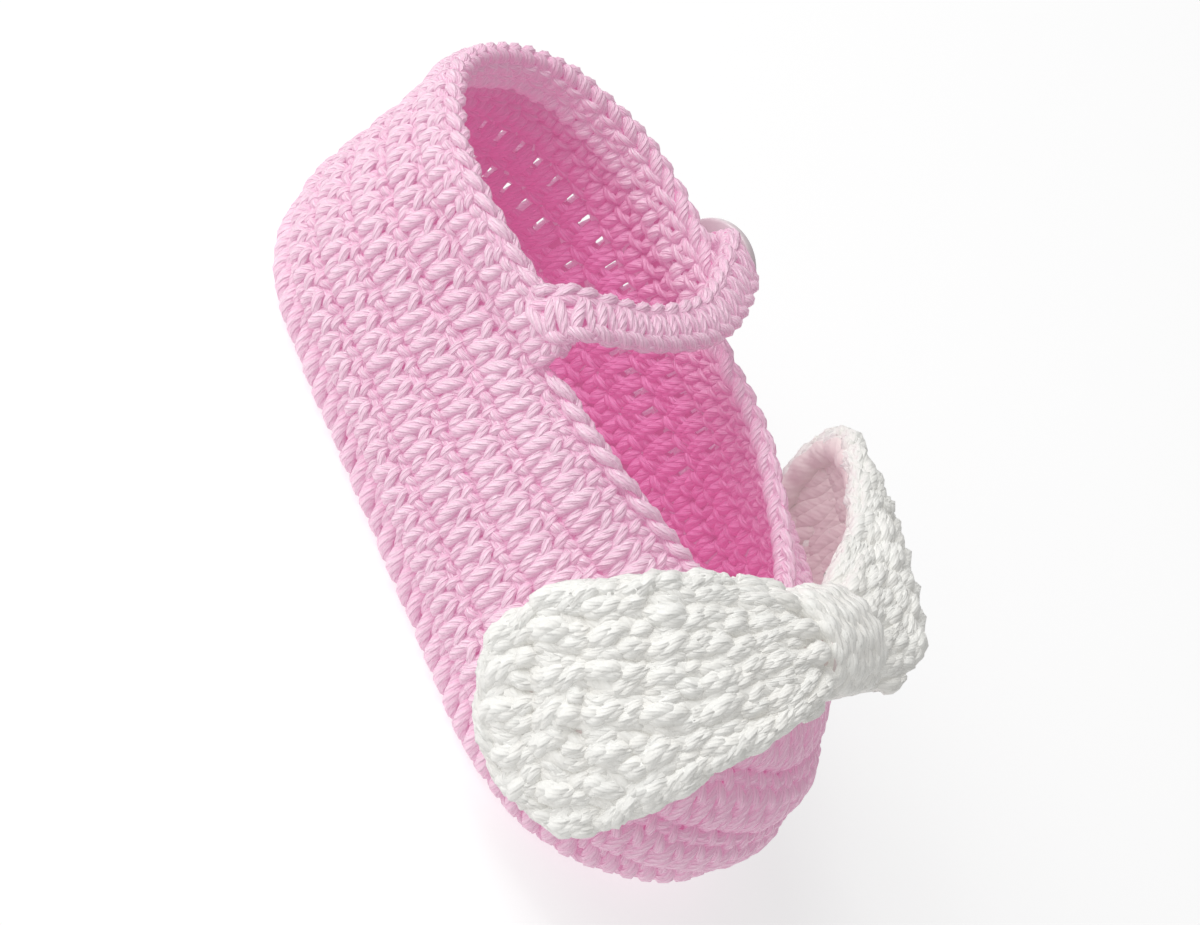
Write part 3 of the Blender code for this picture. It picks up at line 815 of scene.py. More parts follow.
def round_cells(cloth, low, high, pitch, most):
    """Cells of one round: at most so many stitches, and none narrower than the pitch."""
    steps = 1200
    along = np.linspace(0.0, 1.0, steps + 1)
    middle = np.full(len(along), (low + high) / 2.0)
    points, _ = cloth.place(along, middle, np.zeros(len(along)))
    speed = np.linalg.norm(np.diff(points, axis=0), axis=1) * steps
    density = np.minimum(most, speed / pitch)
    filled = np.concatenate([[0.0], np.cumsum(density) / steps])
    number = int(round(filled[-1]))
    edges = np.interp(np.linspace(0.0, filled[-1], number + 1), filled, along)
    start = edges[:-1]
    ones = np.ones(number)
    return start, np.diff(edges), ones * low, ones * (high - low), ones


def row_cells(number, low, tall):
    """Cells of one straight row of so many stitches."""
    ones = np.ones(number)
    return np.arange(number) / number, ones / number, ones * low, ones * tall, ones


class Sum:
    """A shader value that can be added, multiplied and so on in plain expressions."""

    def __init__(self, finish, socket):
        self.finish = finish
        self.socket = socket

    def maths(self, operation, *values):
        return self.finish.maths(operation, *values)

    def __add__(self, other):
        return self.maths("ADD", self, other)

    def __radd__(self, other):
        return self.maths("ADD", other, self)

    def __sub__(self, other):
        return self.maths("SUBTRACT", self, other)

    def __rsub__(self, other):
        return self.maths("SUBTRACT", other, self)

    def __mul__(self, other):
        return self.maths("MULTIPLY", self, other)

    def __rmul__(self, other):
        return self.maths("MULTIPLY", other, self)

    def sine(self):
        return self.maths("SINE", self)


class Finish:
    """A material and the nodes that paint it."""

    def __init__(self, name):
        self.material = bpy.data.materials.new(name)
        self.material.use_nodes = True
        self.tree = self.material.node_tree
        self.shader = self.tree.nodes["Principled BSDF"]

    def add(self, kind, settings=None, sockets=None):
        """A node of a kind, its settings first and then the values or links of its sockets."""
        node = self.tree.nodes.new(kind)
        for label, value in (settings or {}).items():
            setattr(node, label, value)
        for label, value in (sockets or {}).items():
            self.feed(node.inputs[label], value)
        return node

    def feed(self, socket, value):
        """Links a socket to a value, or sets it to a number or colour."""
        if isinstance(value, Sum):
            self.tree.links.new(value.socket, socket)
        else:
            socket.default_value = value

    def maths(self, operation, *values):
        node = self.add("ShaderNodeMath", {"operation": operation}, dict(enumerate(values)))
        return Sum(self, node.outputs[0])

    def out(self, node, label):
        return Sum(self, node.outputs[label])

    def column(self, label):
        """A value that the mesh carries at each point."""
        node = self.add("ShaderNodeAttribute", {"attribute_name": label})
        return self.out(node, "Fac")

    def mix(self, share, first, second):
        """A colour between two others."""
        node = self.add("ShaderNodeMix", {"data_type": "RGBA"}, {0: share, 6: first, 7: second})
        return Sum(self, node.outputs[2])

    def noise(self, scale, detail=2.0):
        """Soft blotches in the piece's own coordinates."""
        place = self.out(self.add("ShaderNodeTexCoord"), "Object")
        sockets = {"Vector": place, "Scale": scale, "Detail": detail}
        return self.out(self.add("ShaderNodeTexNoise", None, sockets), "Fac")

    def rise(self, low, high):
        """From 0 at one height over the floor, in mm, to 1 at another."""
        place = self.out(self.add("ShaderNodeTexCoord"), "Object")
        height = self.out(self.add("ShaderNodeSeparateXYZ", None, {"Vector": place}), "Z")
        sockets = {"Value": height, "From Min": low * MM, "From Max": high * MM}
        return self.out(self.add("ShaderNodeMapRange", None, sockets), "Result")

    def set(self, **sockets):
        """Sets the shader's sockets, named with _ for a space."""
        for label, value in sockets.items():
            self.feed(self.shader.inputs[label.replace("_", " ")], value)


def yarn_finish(name, look, light, deep, shine, top=None):
    """Twisted yarn: plies as slanted ridges, painted shade where a strand goes under and in the
    grooves.

    The faint glow, in the colour shine, stands for light that shines through the fibres.
    Where a top colour is given, the yarn turns toward it near the collar, painted light that falls
    in there.
    """
    finish = Finish(name)
    wrap = finish.out(finish.add("ShaderNodeUVMap", {"uv_map": "yarn"}), "UV")
    parts = finish.add("ShaderNodeSeparateXYZ", None, {"Vector": wrap})
    length = finish.out(parts, "X")
    around = finish.out(parts, "Y")
    tone = finish.column("tone")
    depth = finish.column("depth")
    blotch = finish.noise(BLOTCH_SCALE)
    speck = finish.noise(SPECK_SCALE)
    ply = ((around * look.plies + length * look.twist + blotch * 0.8) * TURN).sine()
    fibres = around * (look.plies * 3.0) + length * (look.twist * 2.0) + speck * 0.7
    fibre = (fibres * TURN).sine()
    groove = 0.5 - ply * 0.5
    groove_shading = (groove + fibre * 0.25) * look.streak
    # Painted shade where a strand goes under and in the ply grooves, mixed with the yarn's random
    # tone and blotches
    shade = depth * 0.50 + groove_shading + tone * 0.14 + blotch * 0.30 - 0.22
    colour = finish.mix(shade, (*light, 1.0), (*deep, 1.0))
    # Painted light: paler toward the collar, where more light falls in at the opening
    if top is not None:
        colour = finish.mix(finish.rise(*COLLAR_LIGHT_FADE), colour, (*top, 1.0))
    finish.set(
        Base_Color=colour,
        Roughness=look.roughness + groove * 0.16 + tone * 0.08,
        Sheen_Weight=0.15,
        Sheen_Roughness=0.4,
        Specular_IOR_Level=0.5,
        Emission_Color=(*shine, 1.0),
        Emission_Strength=look.glow,
    )
    height = ply * 0.6 + fibre * 0.2 + speck * 0.6
    sockets = {"Strength": 1.0, "Distance": look.relief * MM, "Height": height}
    finish.set(Normal=finish.out(finish.add("ShaderNodeBump", None, sockets), "Normal"))
    return finish.material


def backing_finish(name, light, deep, shine, glow):
    """The dim inside of the cloth between the strands, painted shade with a glow for light that
    comes through.
    """
    finish = Finish(name)
    blotch = finish.noise(BACKING_SCALE, 3.0)
    finish.set(
        Base_Color=finish.mix(blotch, (*light, 1.0), (*deep, 1.0)),
        Roughness=0.85,
        Emission_Color=(*shine, 1.0),
        Emission_Strength=glow,
    )
    sockets = {"Strength": 1.0, "Distance": BACKING_RELIEF * MM, "Height": blotch}
    finish.set(Normal=finish.out(finish.add("ShaderNodeBump", None, sockets), "Normal"))
    return finish.material


def dimmed(colour, share):
    """A colour at a share of its strength."""
    return tuple(channel * share for channel in colour)


def button_finish(name, colour):
    """Pale polished plastic with a faint cloud."""
    finish = Finish(name)
    cloud = finish.noise(CLOUD_SCALE)
    finish.set(
        Base_Color=finish.mix(cloud, (*colour, 1.0), (*dimmed(colour, 0.86), 1.0)),
        Roughness=0.22 + cloud * 0.10,
        Coat_Weight=0.3,
    )
    return finish.material


def floor_finish(name, colour):
    """A plain pale floor."""
    finish = Finish(name)
    cloud = finish.noise(FLOOR_SCALE)
    finish.set(
        Base_Color=finish.mix(cloud, (*colour, 1.0), (*dimmed(colour, 0.985), 1.0)),
        Roughness=0.9,
        Emission_Color=(1.0, 1.0, 1.0, 1.0),
        Emission_Strength=FLOOR_GLOW,
    )
    return finish.material


def dress(made, material, slot, *nodes):
    """Gives a piece its material and hides the nodes it stands for; it rides on the body. The slot
    is not used.
    """
    made.data.materials.clear()
    made.data.materials.append(material)
    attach(made, "root")
    if nodes:
        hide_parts(*nodes)


def lone_select(made):
    """Selects one object and nothing else."""
    bpy.ops.object.select_all(action="DESELECT")
    made.hide_viewport = False
    made.select_set(True)
    bpy.context.view_layer.objects.active = made


def core_of(node, name, shrink):
    """A merged copy of a solid, drawn in under the strands that cover it."""
    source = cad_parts[node]
    made = bpy.data.objects.new(name, source.data.copy())
    bpy.context.scene.collection.objects.link(made)
    lone_select(made)
    bpy.ops.object.mode_set(mode="EDIT")
    bpy.ops.mesh.select_all(action="SELECT")
    bpy.ops.mesh.remove_doubles(threshold=WELD * MM)
    bpy.ops.mesh.normals_make_consistent(inside=False)
    bpy.ops.object.mode_set(mode="OBJECT")
    draw_in = made.modifiers.new("draw in", "DISPLACE")
    draw_in.strength = -shrink * MM
    draw_in.mid_level = 0.0
    bpy.ops.object.modifier_apply(modifier=draw_in.name)
    bpy.ops.object.shade_smooth()
    return made


class BootieYarn(bpy.types.PropertyGroup):
    """Yarn thickness and stitch counts."""

    pink_girth: bpy.props.FloatProperty(
        name="Pink yarn", description="Thickness of the pink cotton", default=0.00124,
        unit="LENGTH")
    white_girth: bpy.props.FloatProperty(
        name="White yarn", description="Thickness of the white yarn", default=0.0019, unit="LENGTH")
    round_stitches: bpy.props.IntProperty(
        name="Stitches a round", description="Stitches in a full round of the upper", default=84)
    stitch_width: bpy.props.FloatProperty(
        name="Stitch width", description="Width of a stitch", default=0.0031, unit="LENGTH")
    ribs: bpy.props.IntProperty(
        name="Bow ribs", description="Ribs across the bow's broad part", default=7)
    bow_row: bpy.props.FloatProperty(
        name="Bow row", description="Height of a row in the bow", default=0.0074, unit="LENGTH")


class BootieColours(bpy.types.PropertyGroup):
    """Colours of yarn, button and floor."""

    pink: bpy.props.FloatVectorProperty(
        name="Pink", description="Pink cotton in the light", subtype="COLOR",
        default=(0.54, 0.475, 0.507))
    # Painted shade: the pink cotton in the pits and where a strand goes under
    shaded_pink: bpy.props.FloatVectorProperty(
        name="Shaded pink", description="Pink cotton in the pits", subtype="COLOR",
        default=(0.54, 0.26, 0.39))
    pink_shine: bpy.props.FloatVectorProperty(
        name="Pink shine", description="Light that comes through the pink cotton", subtype="COLOR",
        default=(1.0, 0.44, 0.70))
    pit_shine: bpy.props.FloatVectorProperty(
        name="Pit shine", description="Light that comes through in the pits", subtype="COLOR",
        default=(1.0, 0.27, 0.57))
    # Painted shade and painted pink bounce light: the same pink cotton as it looks inside the shoe
    shaded_inside_pink: bpy.props.FloatVectorProperty(
        name="Shaded inside pink", description="Pink cotton inside the shoe", subtype="COLOR",
        default=(0.69, 0.285, 0.50))
    white: bpy.props.FloatVectorProperty(
        name="White", description="White yarn in the light", subtype="COLOR",
        default=(0.58, 0.58, 0.56))
    # Painted shade: the white yarn in the pits and where a strand goes under
    shaded_white: bpy.props.FloatVectorProperty(
        name="Shaded white", description="White yarn in the pits", subtype="COLOR",
        default=(0.52, 0.495, 0.455))
    white_shine: bpy.props.FloatVectorProperty(
        name="White shine", description="Light that comes through the white yarn", subtype="COLOR",
        default=(1.0, 0.985, 0.94))
    # Painted reflection: pink light thrown back from the pink cotton onto the white yarn, with its
    # shade
    pink_reflection: bpy.props.FloatVectorProperty(
        name="Pink reflection", description="White yarn where it faces the pink cotton", subtype="COLOR",
        default=(0.63, 0.55, 0.54))
    button: bpy.props.FloatVectorProperty(
        name="Button", description="Plastic of the button", subtype="COLOR",
        default=(0.70, 0.60, 0.63))
    floor: bpy.props.FloatVectorProperty(
        name="Floor", description="The plain floor", subtype="COLOR", default=(0.45, 0.45, 0.45))


class BootieStage(bpy.types.PropertyGroup):
    """Camera and lights."""

    azimuth: bpy.props.FloatProperty(
        name="Azimuth", description="Camera round the shoe", subtype="ANGLE",
        default=math.radians(15.16))
    elevation: bpy.props.FloatProperty(
        name="Elevation", description="Camera above the floor", subtype="ANGLE",
        default=math.radians(32.82))
    roll: bpy.props.FloatProperty(
        name="Roll", description="Camera turned on its own axis", subtype="ANGLE",
        default=math.radians(55.94))
    distance: bpy.props.FloatProperty(
        name="Distance", description="Camera to the shoe", default=0.7, unit="LENGTH")
    lens: bpy.props.FloatProperty(
        name="Lens", description="Focal length in millimetres", default=168.0)
    step_right: bpy.props.FloatProperty(
        name="Step right", description="Camera moved right, to centre the shoe", default=0.0017,
        unit="LENGTH")
    step_up: bpy.props.FloatProperty(
        name="Step up", description="Camera moved up, to centre the shoe", default=0.0013,
        unit="LENGTH")
    key_power: bpy.props.FloatProperty(
        name="Key light", description="Power of the main light", default=7.2, unit="POWER")
    fill_power: bpy.props.FloatProperty(
        name="Fill light", description="Power of the front light", default=9.0, unit="POWER")
    sky: bpy.props.FloatProperty(
        name="Sky", description="Strength of the white surroundings", default=0.31)


def pink_materials():
    """The outer and inner finishes of the pink yarn, and the backings under them, made once."""
    colours = bpy.context.scene.bootie_colours
    light = tuple(colours.pink)
    deep = tuple(colours.shaded_pink)
    inside = tuple(colours.shaded_inside_pink)
    shine = tuple(colours.pink_shine)
    pits = tuple(colours.pit_shine)
    if "pink cotton" not in bpy.data.materials:
        yarn_finish("pink cotton", PINK_LOOK, light, deep, shine)
        # The lining: painted shade inside the shoe, with painted light toward the collar
        yarn_finish("pink cotton inside", INSIDE_LOOK, inside, dimmed(inside, 0.85), pits, light)
        # The backing of wall and cores: painted shade of the pits between the strands
        backing_finish("pink backing", deep, dimmed(deep, 0.92), pits, PINK_BACKING_GLOW)
    names = ("pink cotton", "pink cotton inside", "pink backing")
    return [bpy.data.materials[name] for name in names]


def white_materials():
    """The finishes of the white yarn, front and back, and of its backing, made once."""
    colours = bpy.context.scene.bootie_colours
    light = tuple(colours.white)
    deep = tuple(colours.shaded_white)
    pink_reflection = tuple(colours.pink_reflection)
    shine = tuple(colours.white_shine)
    if "white yarn" not in bpy.data.materials:
        yarn_finish("white yarn", WHITE_LOOK, light, deep, shine)
        # The wings' back and the backing: painted pink reflected light and shade
        yarn_finish("white yarn back", BACK_LOOK, dimmed(pink_reflection, 1.04), pink_reflection, pink_reflection)
        backing_finish("white backing", pink_reflection, dimmed(pink_reflection, 0.94), pink_reflection, WHITE_BACKING_GLOW)
    names = ("white yarn", "white yarn back", "white backing")
    return [bpy.data.materials[name] for name in names]


class BOOTIE_OT_upper(bpy.types.Operator):
    """Four rounds of tall stitches, their backs inside, and the thin wall between"""

    bl_idname = "bootie.upper"
    bl_label = "Upper"

    def execute(self, context):
        yarn = context.scene.bootie_yarn
        radius = yarn.pink_girth / MM / 2.0
        # The lining's finish and the backing carry painted shade
        cotton, inside, dim = pink_materials()
        outer = upper_cloth(STITCH_DEPTH)
        inner_points = upper_cloth(WALL - LINING_DEPTH)
        inner = Cloth(inner_points.points[::-1], loops=True)
        if (inner.outward[::-1] * inner_points.outward).sum() > 0.0:
            inner.outward = -inner.outward
        front = YarnWork(seed=11)
        under = YarnWork(seed=14)
        back = YarnWork(seed=12)
        for number in range(ROUNDS):
            low = number / ROUNDS
            high = (number + 1) / ROUNDS
            cells = round_cells(outer, low, high, UPPER_PITCH, yarn.round_stitches)
            start, width, low_edge, tall, girth = cells
            loose = self.is_loose(start)
            if number in PINHOLE_ROUNDS:
                girth[loose] = PINHOLE_GIRTH
            else:
                loose[:] = False
            front.lay(outer, cells, TALL_STITCH, radius, steps=8, sides=6, billow=BILLOW)
            under.lay(outer, cells, UNDER_STITCH[:-1], radius, steps=6, sides=6, billow=BILLOW)
            # A loose stitch goes without the leg that would fill its slit
            closed = [values[~loose] for values in cells]
            under.lay(outer, closed, UNDER_STITCH[-1:], radius, steps=6, sides=6, billow=BILLOW)
            slant = np.where(loose, self.slant(outer, start + width / 2.0), 0.0)
            reach = LINING_REACH if number == 0 else 0.0
            mirrored_start = (1.0 - start - width - slant) % 1.0
            mirrored = (mirrored_start, width, low_edge - reach, tall + reach, girth)
            for chart, these in ((TALL_BACK, ~loose), (LOOSE_BACK, loose)):
                chosen = [values[these] for values in mirrored]
                back.lay(inner, chosen, chart, radius, steps=6, sides=6)
        dress(front.make("upper_stitches"), cotton, "pink_yarn", "upper")
        dress(under.make("upper_under_stitches"), cotton, "pink_yarn")
        dress(back.make("upper_lining_stitches"), inside, "pink_yarn")
        dress(self.wall(outer, yarn.round_stitches), dim, "pink_yarn")
        return {"FINISHED"}

    def is_loose(self, along):
        """Whether the places along the rounds are worked loosely."""
        turns = wrapped(-2.0 * along)
        return (turns > PINHOLE_SPAN[0]) & (turns < PINHOLE_SPAN[1])

    def slant(self, outer, along):
        """How far along the round a slit moves on its way through the wall."""
        level = np.full(along.shape, 0.5)
        flush = np.zeros(along.shape)
        step = 0.002
        ahead, _ = outer.place(along + step, level, flush)
        behind, _ = outer.place(along - step, level, flush)
        _, facing = outer.place(along, level, flush)
        pace = np.linalg.norm(ahead - behind, axis=-1) / (2.0 * step)
        through = np.array(PINHOLE_WAY)
        sideways = (unit(ahead - behind) * through).sum(axis=-1)
        inward = (facing * through).sum(axis=-1)
        return -PINHOLE_DEPTH * sideways * inward / (inward * inward + PINHOLE_EASE) / pace

    def wall(self, outer, stitches):
        """The thin wall behind the stitches, with a slit here and there between the posts."""
        chance = np.random.default_rng(13)
        across = np.array([0.0, 0.16, 0.80, 0.90])
        upward = np.array([0.0, 0.14, 0.38, 0.82])
        along = (np.arange(stitches)[:, None] + across).ravel() / stitches
        along = along + 0.5 * self.slant(outer, along)
        ups = np.concatenate([(np.arange(ROUNDS)[:, None] + upward).ravel() / ROUNDS, [1.0]])
        ups[0] = -LINING_REACH
        grid_along, grid_up = np.meshgrid(along, ups, indexing="ij")
        sideways, upwards = WALL_JITTER
        grid_along = grid_along + chance.uniform(-sideways, sideways, grid_along.shape) / stitches
        between = (grid_up < 1.0) * (grid_up > 0.0)
        grid_up = grid_up + chance.uniform(-upwards, upwards, grid_up.shape) / ROUNDS * between
        points, _ = outer.place(grid_along, grid_up, np.full(grid_along.shape, WALL_LIFT))
        columns, rows = grid_along.shape
        index = np.arange(columns * rows).reshape(columns, rows)
        after = np.roll(index, -1, axis=0)
        faces = np.stack([index[:, :-1], after[:, :-1], after[:, 1:], index[:, 1:]], axis=-1)
        keep = np.ones(faces.shape[:2], dtype=bool)
        for column in range(1, columns, len(across)):
            if not self.is_loose(along[column]):
                continue
            for level in PINHOLE_ROUNDS:
                if chance.random() < PINHOLE_CHANCE:
                    keep[column, level * len(upward) + 2] = False
        mesh = bpy.data.meshes.new("upper_wall")
        mesh.from_pydata((points.reshape(-1, 3) * MM).tolist(), [], faces[keep].tolist())
        made = bpy.data.objects.new("upper_wall", mesh)
        bpy.context.scene.collection.objects.link(made)
        lone_select(made)
        thick = made.modifiers.new("thickness", "SOLIDIFY")
        thick.thickness = WALL_SHEET * MM
        thick.offset = -1.0
        bpy.ops.object.modifier_apply(modifier=thick.name)
        bpy.ops.object.shade_smooth()
        return made


class BOOTIE_OT_sole(bpy.types.Operator):
    """Oval rounds of tall stitches under the foot, and a slanted row round the edge"""

    bl_idname = "bootie.sole"
    bl_label = "Sole"

    def execute(self, context):
        yarn = context.scene.bootie_yarn
        radius = yarn.pink_girth / MM / 2.0
        # The lining's finish and the backing carry painted shade
        cotton, inside_cotton, dim = pink_materials()
        along = np.arange(ROUND_STEPS) / ROUND_STEPS
        pitch = yarn.stitch_width / MM
        work = YarnWork(seed=21)
        side = self.edge_cloth(along)
        cells = round_cells(side, 0.0, 1.0, EDGE_PITCH, yarn.round_stitches)
        work.lay(side, cells, EDGE_STITCH, radius, steps=8, sides=6)
        under = self.flat_cloth(along[::-1], TREAD_FACE, -1.0)
        inside = self.flat_cloth(along, INSIDE_FACE, 1.0)
        tread = self.shallow(TALL_STITCH, TREAD_DEPTH)
        lining = YarnWork(seed=22)
        edges = SOLE_MARGIN + (1.0 - SOLE_MARGIN) * np.arange(ROUNDS + 1) / ROUNDS
        for low, high in zip(edges[:-1], edges[1:]):
            cells = self.flipped(round_cells(under, low, high, pitch, UNLIMITED))
            work.lay(under, cells, tread, radius, steps=7, sides=6)
            cells = self.flipped(round_cells(inside, low, high, pitch, UNLIMITED))
            lining.lay(inside, cells, TALL_BACK, radius, steps=5, sides=6)
        dress(work.make("sole_stitches"), cotton, "pink_yarn", "sole")
        dress(lining.make("sole_lining_stitches"), inside_cotton, "pink_yarn")
        core = core_of("sole", "sole_core", SOLE_CORE)
        for vertex in core.data.vertices:
            vertex.co.z += CORE_LIFT * MM
        dress(core, dim, "pink_yarn")
        return {"FINISHED"}

    def flipped(self, cells):
        """The same cells; rounds grow outward from the middle of the sole."""
        start, width, low, tall, girth = cells
        return start, width, low + tall, -tall, girth

    def edge_cloth(self, along):
        """The side of the sole from its tread up to the seam."""
        x, y, out_x, out_y, _ = sole_edge(wrapped(-2.0 * along))
        rows = []
        for inset, height in SIDE_ROWS:
            px = x - inset * out_x
            py = y - inset * out_y
            rows.append(np.stack([px, py, height + sole_lift(px)], axis=-1))
        face = Cloth(np.stack(rows, axis=1), loops=True)
        if face.outward[ROUND_STEPS // 4, len(SIDE_ROWS) // 2, 1] > 0.0:
            face.outward = -face.outward
        return face

    def shallow(self, chart, deepest):
        """The same stitch with its strands' ends no deeper than the given lift."""
        strands = []
        for strand in chart:
            points = [(across, up, max(lift, deepest)) for across, up, lift in strand.points]
            strands.append(strand._replace(points=points))
        return strands

    def flat_cloth(self, along, form, hand):
        """A flat face of the sole, from its edge to the line along its middle."""
        x, y, out_x, out_y, radius = sole_edge(wrapped(-2.0 * along))
        rows = []
        for share in np.linspace(form.start, 1.0, FACE_ROWS):
            px = x - share * radius * out_x
            py = y - share * radius * out_y
            height = np.interp(share * radius, form.insets, form.heights)
            rows.append(np.stack([px, py, height + sole_lift(px)], axis=-1))
        facing = np.array([0.0, 0.0, hand])
        return Cloth(np.stack(rows, axis=1), loops=True, facing=facing)


def strap_frames():
    """Middle line of the strap with its ways across and out, its width and its length."""
    table = np.array([row[1:] for row in STRAP_ROWS])
    knots = travel_along(table[:, :3])
    dense = smooth_through(knots, table, np.linspace(0.0, knots[-1], STRAP_STEPS))
    middle = dense[:, :3]
    way = unit(np.gradient(middle, axis=0))
    across = unit(np.array([1.0, 0.0, 0.0]) - way * way[:, :1])
    return middle, across, np.cross(across, way), dense[:, 3], knots[-1]


def chain_path(turns, upright, place):
    """The line of a chain on the collar, which lies inward of its edge and up from it."""
    top, outward, rise = collar_frame(turns, upright)
    inward, up = place
    return top - inward * outward + up * rise, outward, rise


class BOOTIE_OT_ankle_strap(bpy.types.Operator):
    """The ankle band, its chain edge, and the strap that grows from it"""

    bl_idname = "bootie.ankle_strap"
    bl_label = "Ankle band and strap"

    def execute(self, context):
        yarn = context.scene.bootie_yarn
        radius = yarn.pink_girth / MM / 2.0
        # The core wears the backing, painted shade
        cotton, _, dim = pink_materials()
        work = YarnWork(seed=31)
        self.band(work, radius, yarn.stitch_width / MM)
        self.strap(work, radius)
        dress(work.make("ankle_strap_stitches"), cotton, "pink_yarn", "ankle_strap")
        core = core_of("ankle_strap", "ankle_strap_core", STRAP_CORE)
        self.tuck_end(core)
        dress(core, dim, "pink_yarn")
        return {"FINISHED"}

    def tuck_end(self, core):
        """Draws the band's far end back under the strap that crosses it."""
        edge, y_least, z_most = TUCK_EDGE
        for point in core.data.vertices:
            x, y, z = point.co / MM
            if x > edge and y > y_least and z < z_most:
                point.co.x = (edge + TUCK_LEFT * (x - edge)) * MM

    def band(self, work, radius, pitch):
        """One short row on the collar round the heel, and the chain on top of it."""
        turns = np.linspace(BAND_FAR_END - BAND_TUCK, BAND_NEAR_END, BAND_STEPS)
        top, outward, rise = collar_frame(turns, BAND_UPRIGHT)
        ups = np.linspace(*BAND_RISE, BELT_ROWS)
        faces = (
            (BAND_FRONT, 1.0, (TALL_STITCH, UNDER_STITCH)),
            (BAND_BACK, -1.0, (TALL_BACK,)),
        )
        for depth, hand, charts in faces:
            points = top[:, None] - depth * outward[:, None] + ups[:, None] * rise[:, None]
            facing = hand * outward[:, None]
            if hand < 0.0:
                points = points[::-1]
                facing = facing[::-1]
            face = Cloth(points, facing=facing)
            length = travel_along(points[:, len(ups) // 2])[-1]
            cells = row_cells(int(round(length / pitch)), 0.0, 1.0)
            for chart in charts:
                work.lay(face, cells, chart, radius, steps=7, sides=6)
        path, outward, rise = chain_path(turns, BAND_UPRIGHT, BAND_CHAIN_PLACE)
        links = int(round(travel_along(path)[-1] / BAND_CHAIN.link))
        work.rope(path, outward, rise, links, BAND_CHAIN, radius, steps=9, sides=6)

    def strap(self, work, radius):
        """The strap: a chain along both edges and short posts between, on both faces."""
        middle, across, through, width, length = strap_frames()
        number = int(round(length / TOE_SIDE_CHAIN.link))
        cells = row_cells(number, 1.0, -1.0)
        reach = np.linspace(-0.5, 0.5, BELT_ROWS)
        for hand in (1.0, -1.0):
            lift = hand * (STRAP_THICKNESS / 2.0 - radius * STRAP_SINK)
            span = reach[:, None] * (width[:, None, None] - STRAP_MARGIN)
            points = middle[:, None] + span * across[:, None] + lift * through[:, None]
            if hand < 0.0:
                points = points[::-1]
            facing = hand * (through[:, None] if hand > 0.0 else through[::-1, None])
            face = Cloth(points, facing=facing)
            work.lay(face, cells, STRAP_STITCH, radius, steps=7, sides=6)
            work.lay(face, cells, STRAP_UNDER, radius, steps=6, sides=6)
        tuck = np.linspace(*STRAP_TAPER, STRAP_STEPS).clip(0.0, STRAP_TAPER_MOST)
        inset = (width / 2.0 - STRAP_CHAIN_INSET - tuck)[:, None]
        toe_edge = middle + inset * across
        work.rope(toe_edge, through, across, number, TOE_SIDE_CHAIN, radius, steps=9, sides=6)
        # The rear chain starts on the ankle band and runs on along the strap
        turns = BAND_NEAR_END + np.linspace(*STRAP_LEAD, 3)
        lead, outward, rise = chain_path(turns, BAND_UPRIGHT, BAND_CHAIN_PLACE)
        heel_edge = middle - inset * across
        path, length = even_path(np.concatenate([lead, heel_edge[7::5]]), STRAP_STEPS)
        nearest = np.argmin(np.linalg.norm(path[:, None] - heel_edge[None], axis=2), axis=1)
        blend = np.linspace(0.0, 8.0, STRAP_STEPS).clip(0.0, 1.0)[:, None]
        facing = unit(outward[:1] * (1.0 - blend) + through[nearest] * blend)
        upward = unit(rise[:1] * (1.0 - blend) - across[nearest] * blend)
        links = int(round(length / HEEL_SIDE_CHAIN.link))
        work.rope(path, facing, upward, links, HEEL_SIDE_CHAIN, radius, steps=9, sides=6)


class BOOTIE_OT_throat_edging(bpy.types.Operator):
    """The chain edge round the throat"""

    bl_idname = "bootie.throat_edging"
    bl_label = "Throat edging"

    def execute(self, context):
        radius = context.scene.bootie_yarn.pink_girth / MM / 2.0
        # The core wears the backing, painted shade
        cotton, _, dim = pink_materials()
        last = EDGING_FAR_END - EDGING_TUCK
        turns = wrapped(np.linspace(2.0 + EDGING_NEAR_END, last, EDGING_STEPS))
        path, outward, rise = chain_path(turns, 0.0, EDGING_CHAIN_PLACE)
        links = int(round(travel_along(path)[-1] / THROAT_CHAIN.link))
        work = YarnWork(seed=41)
        work.rope(path, outward, rise, links, THROAT_CHAIN, radius, steps=9, sides=6)
        dress(work.make("throat_edging_stitches"), cotton, "pink_yarn", "throat_edging")
        dress(core_of("throat_edging", "throat_edging_core", EDGING_CORE), dim, "pink_yarn")
        return {"FINISHED"}


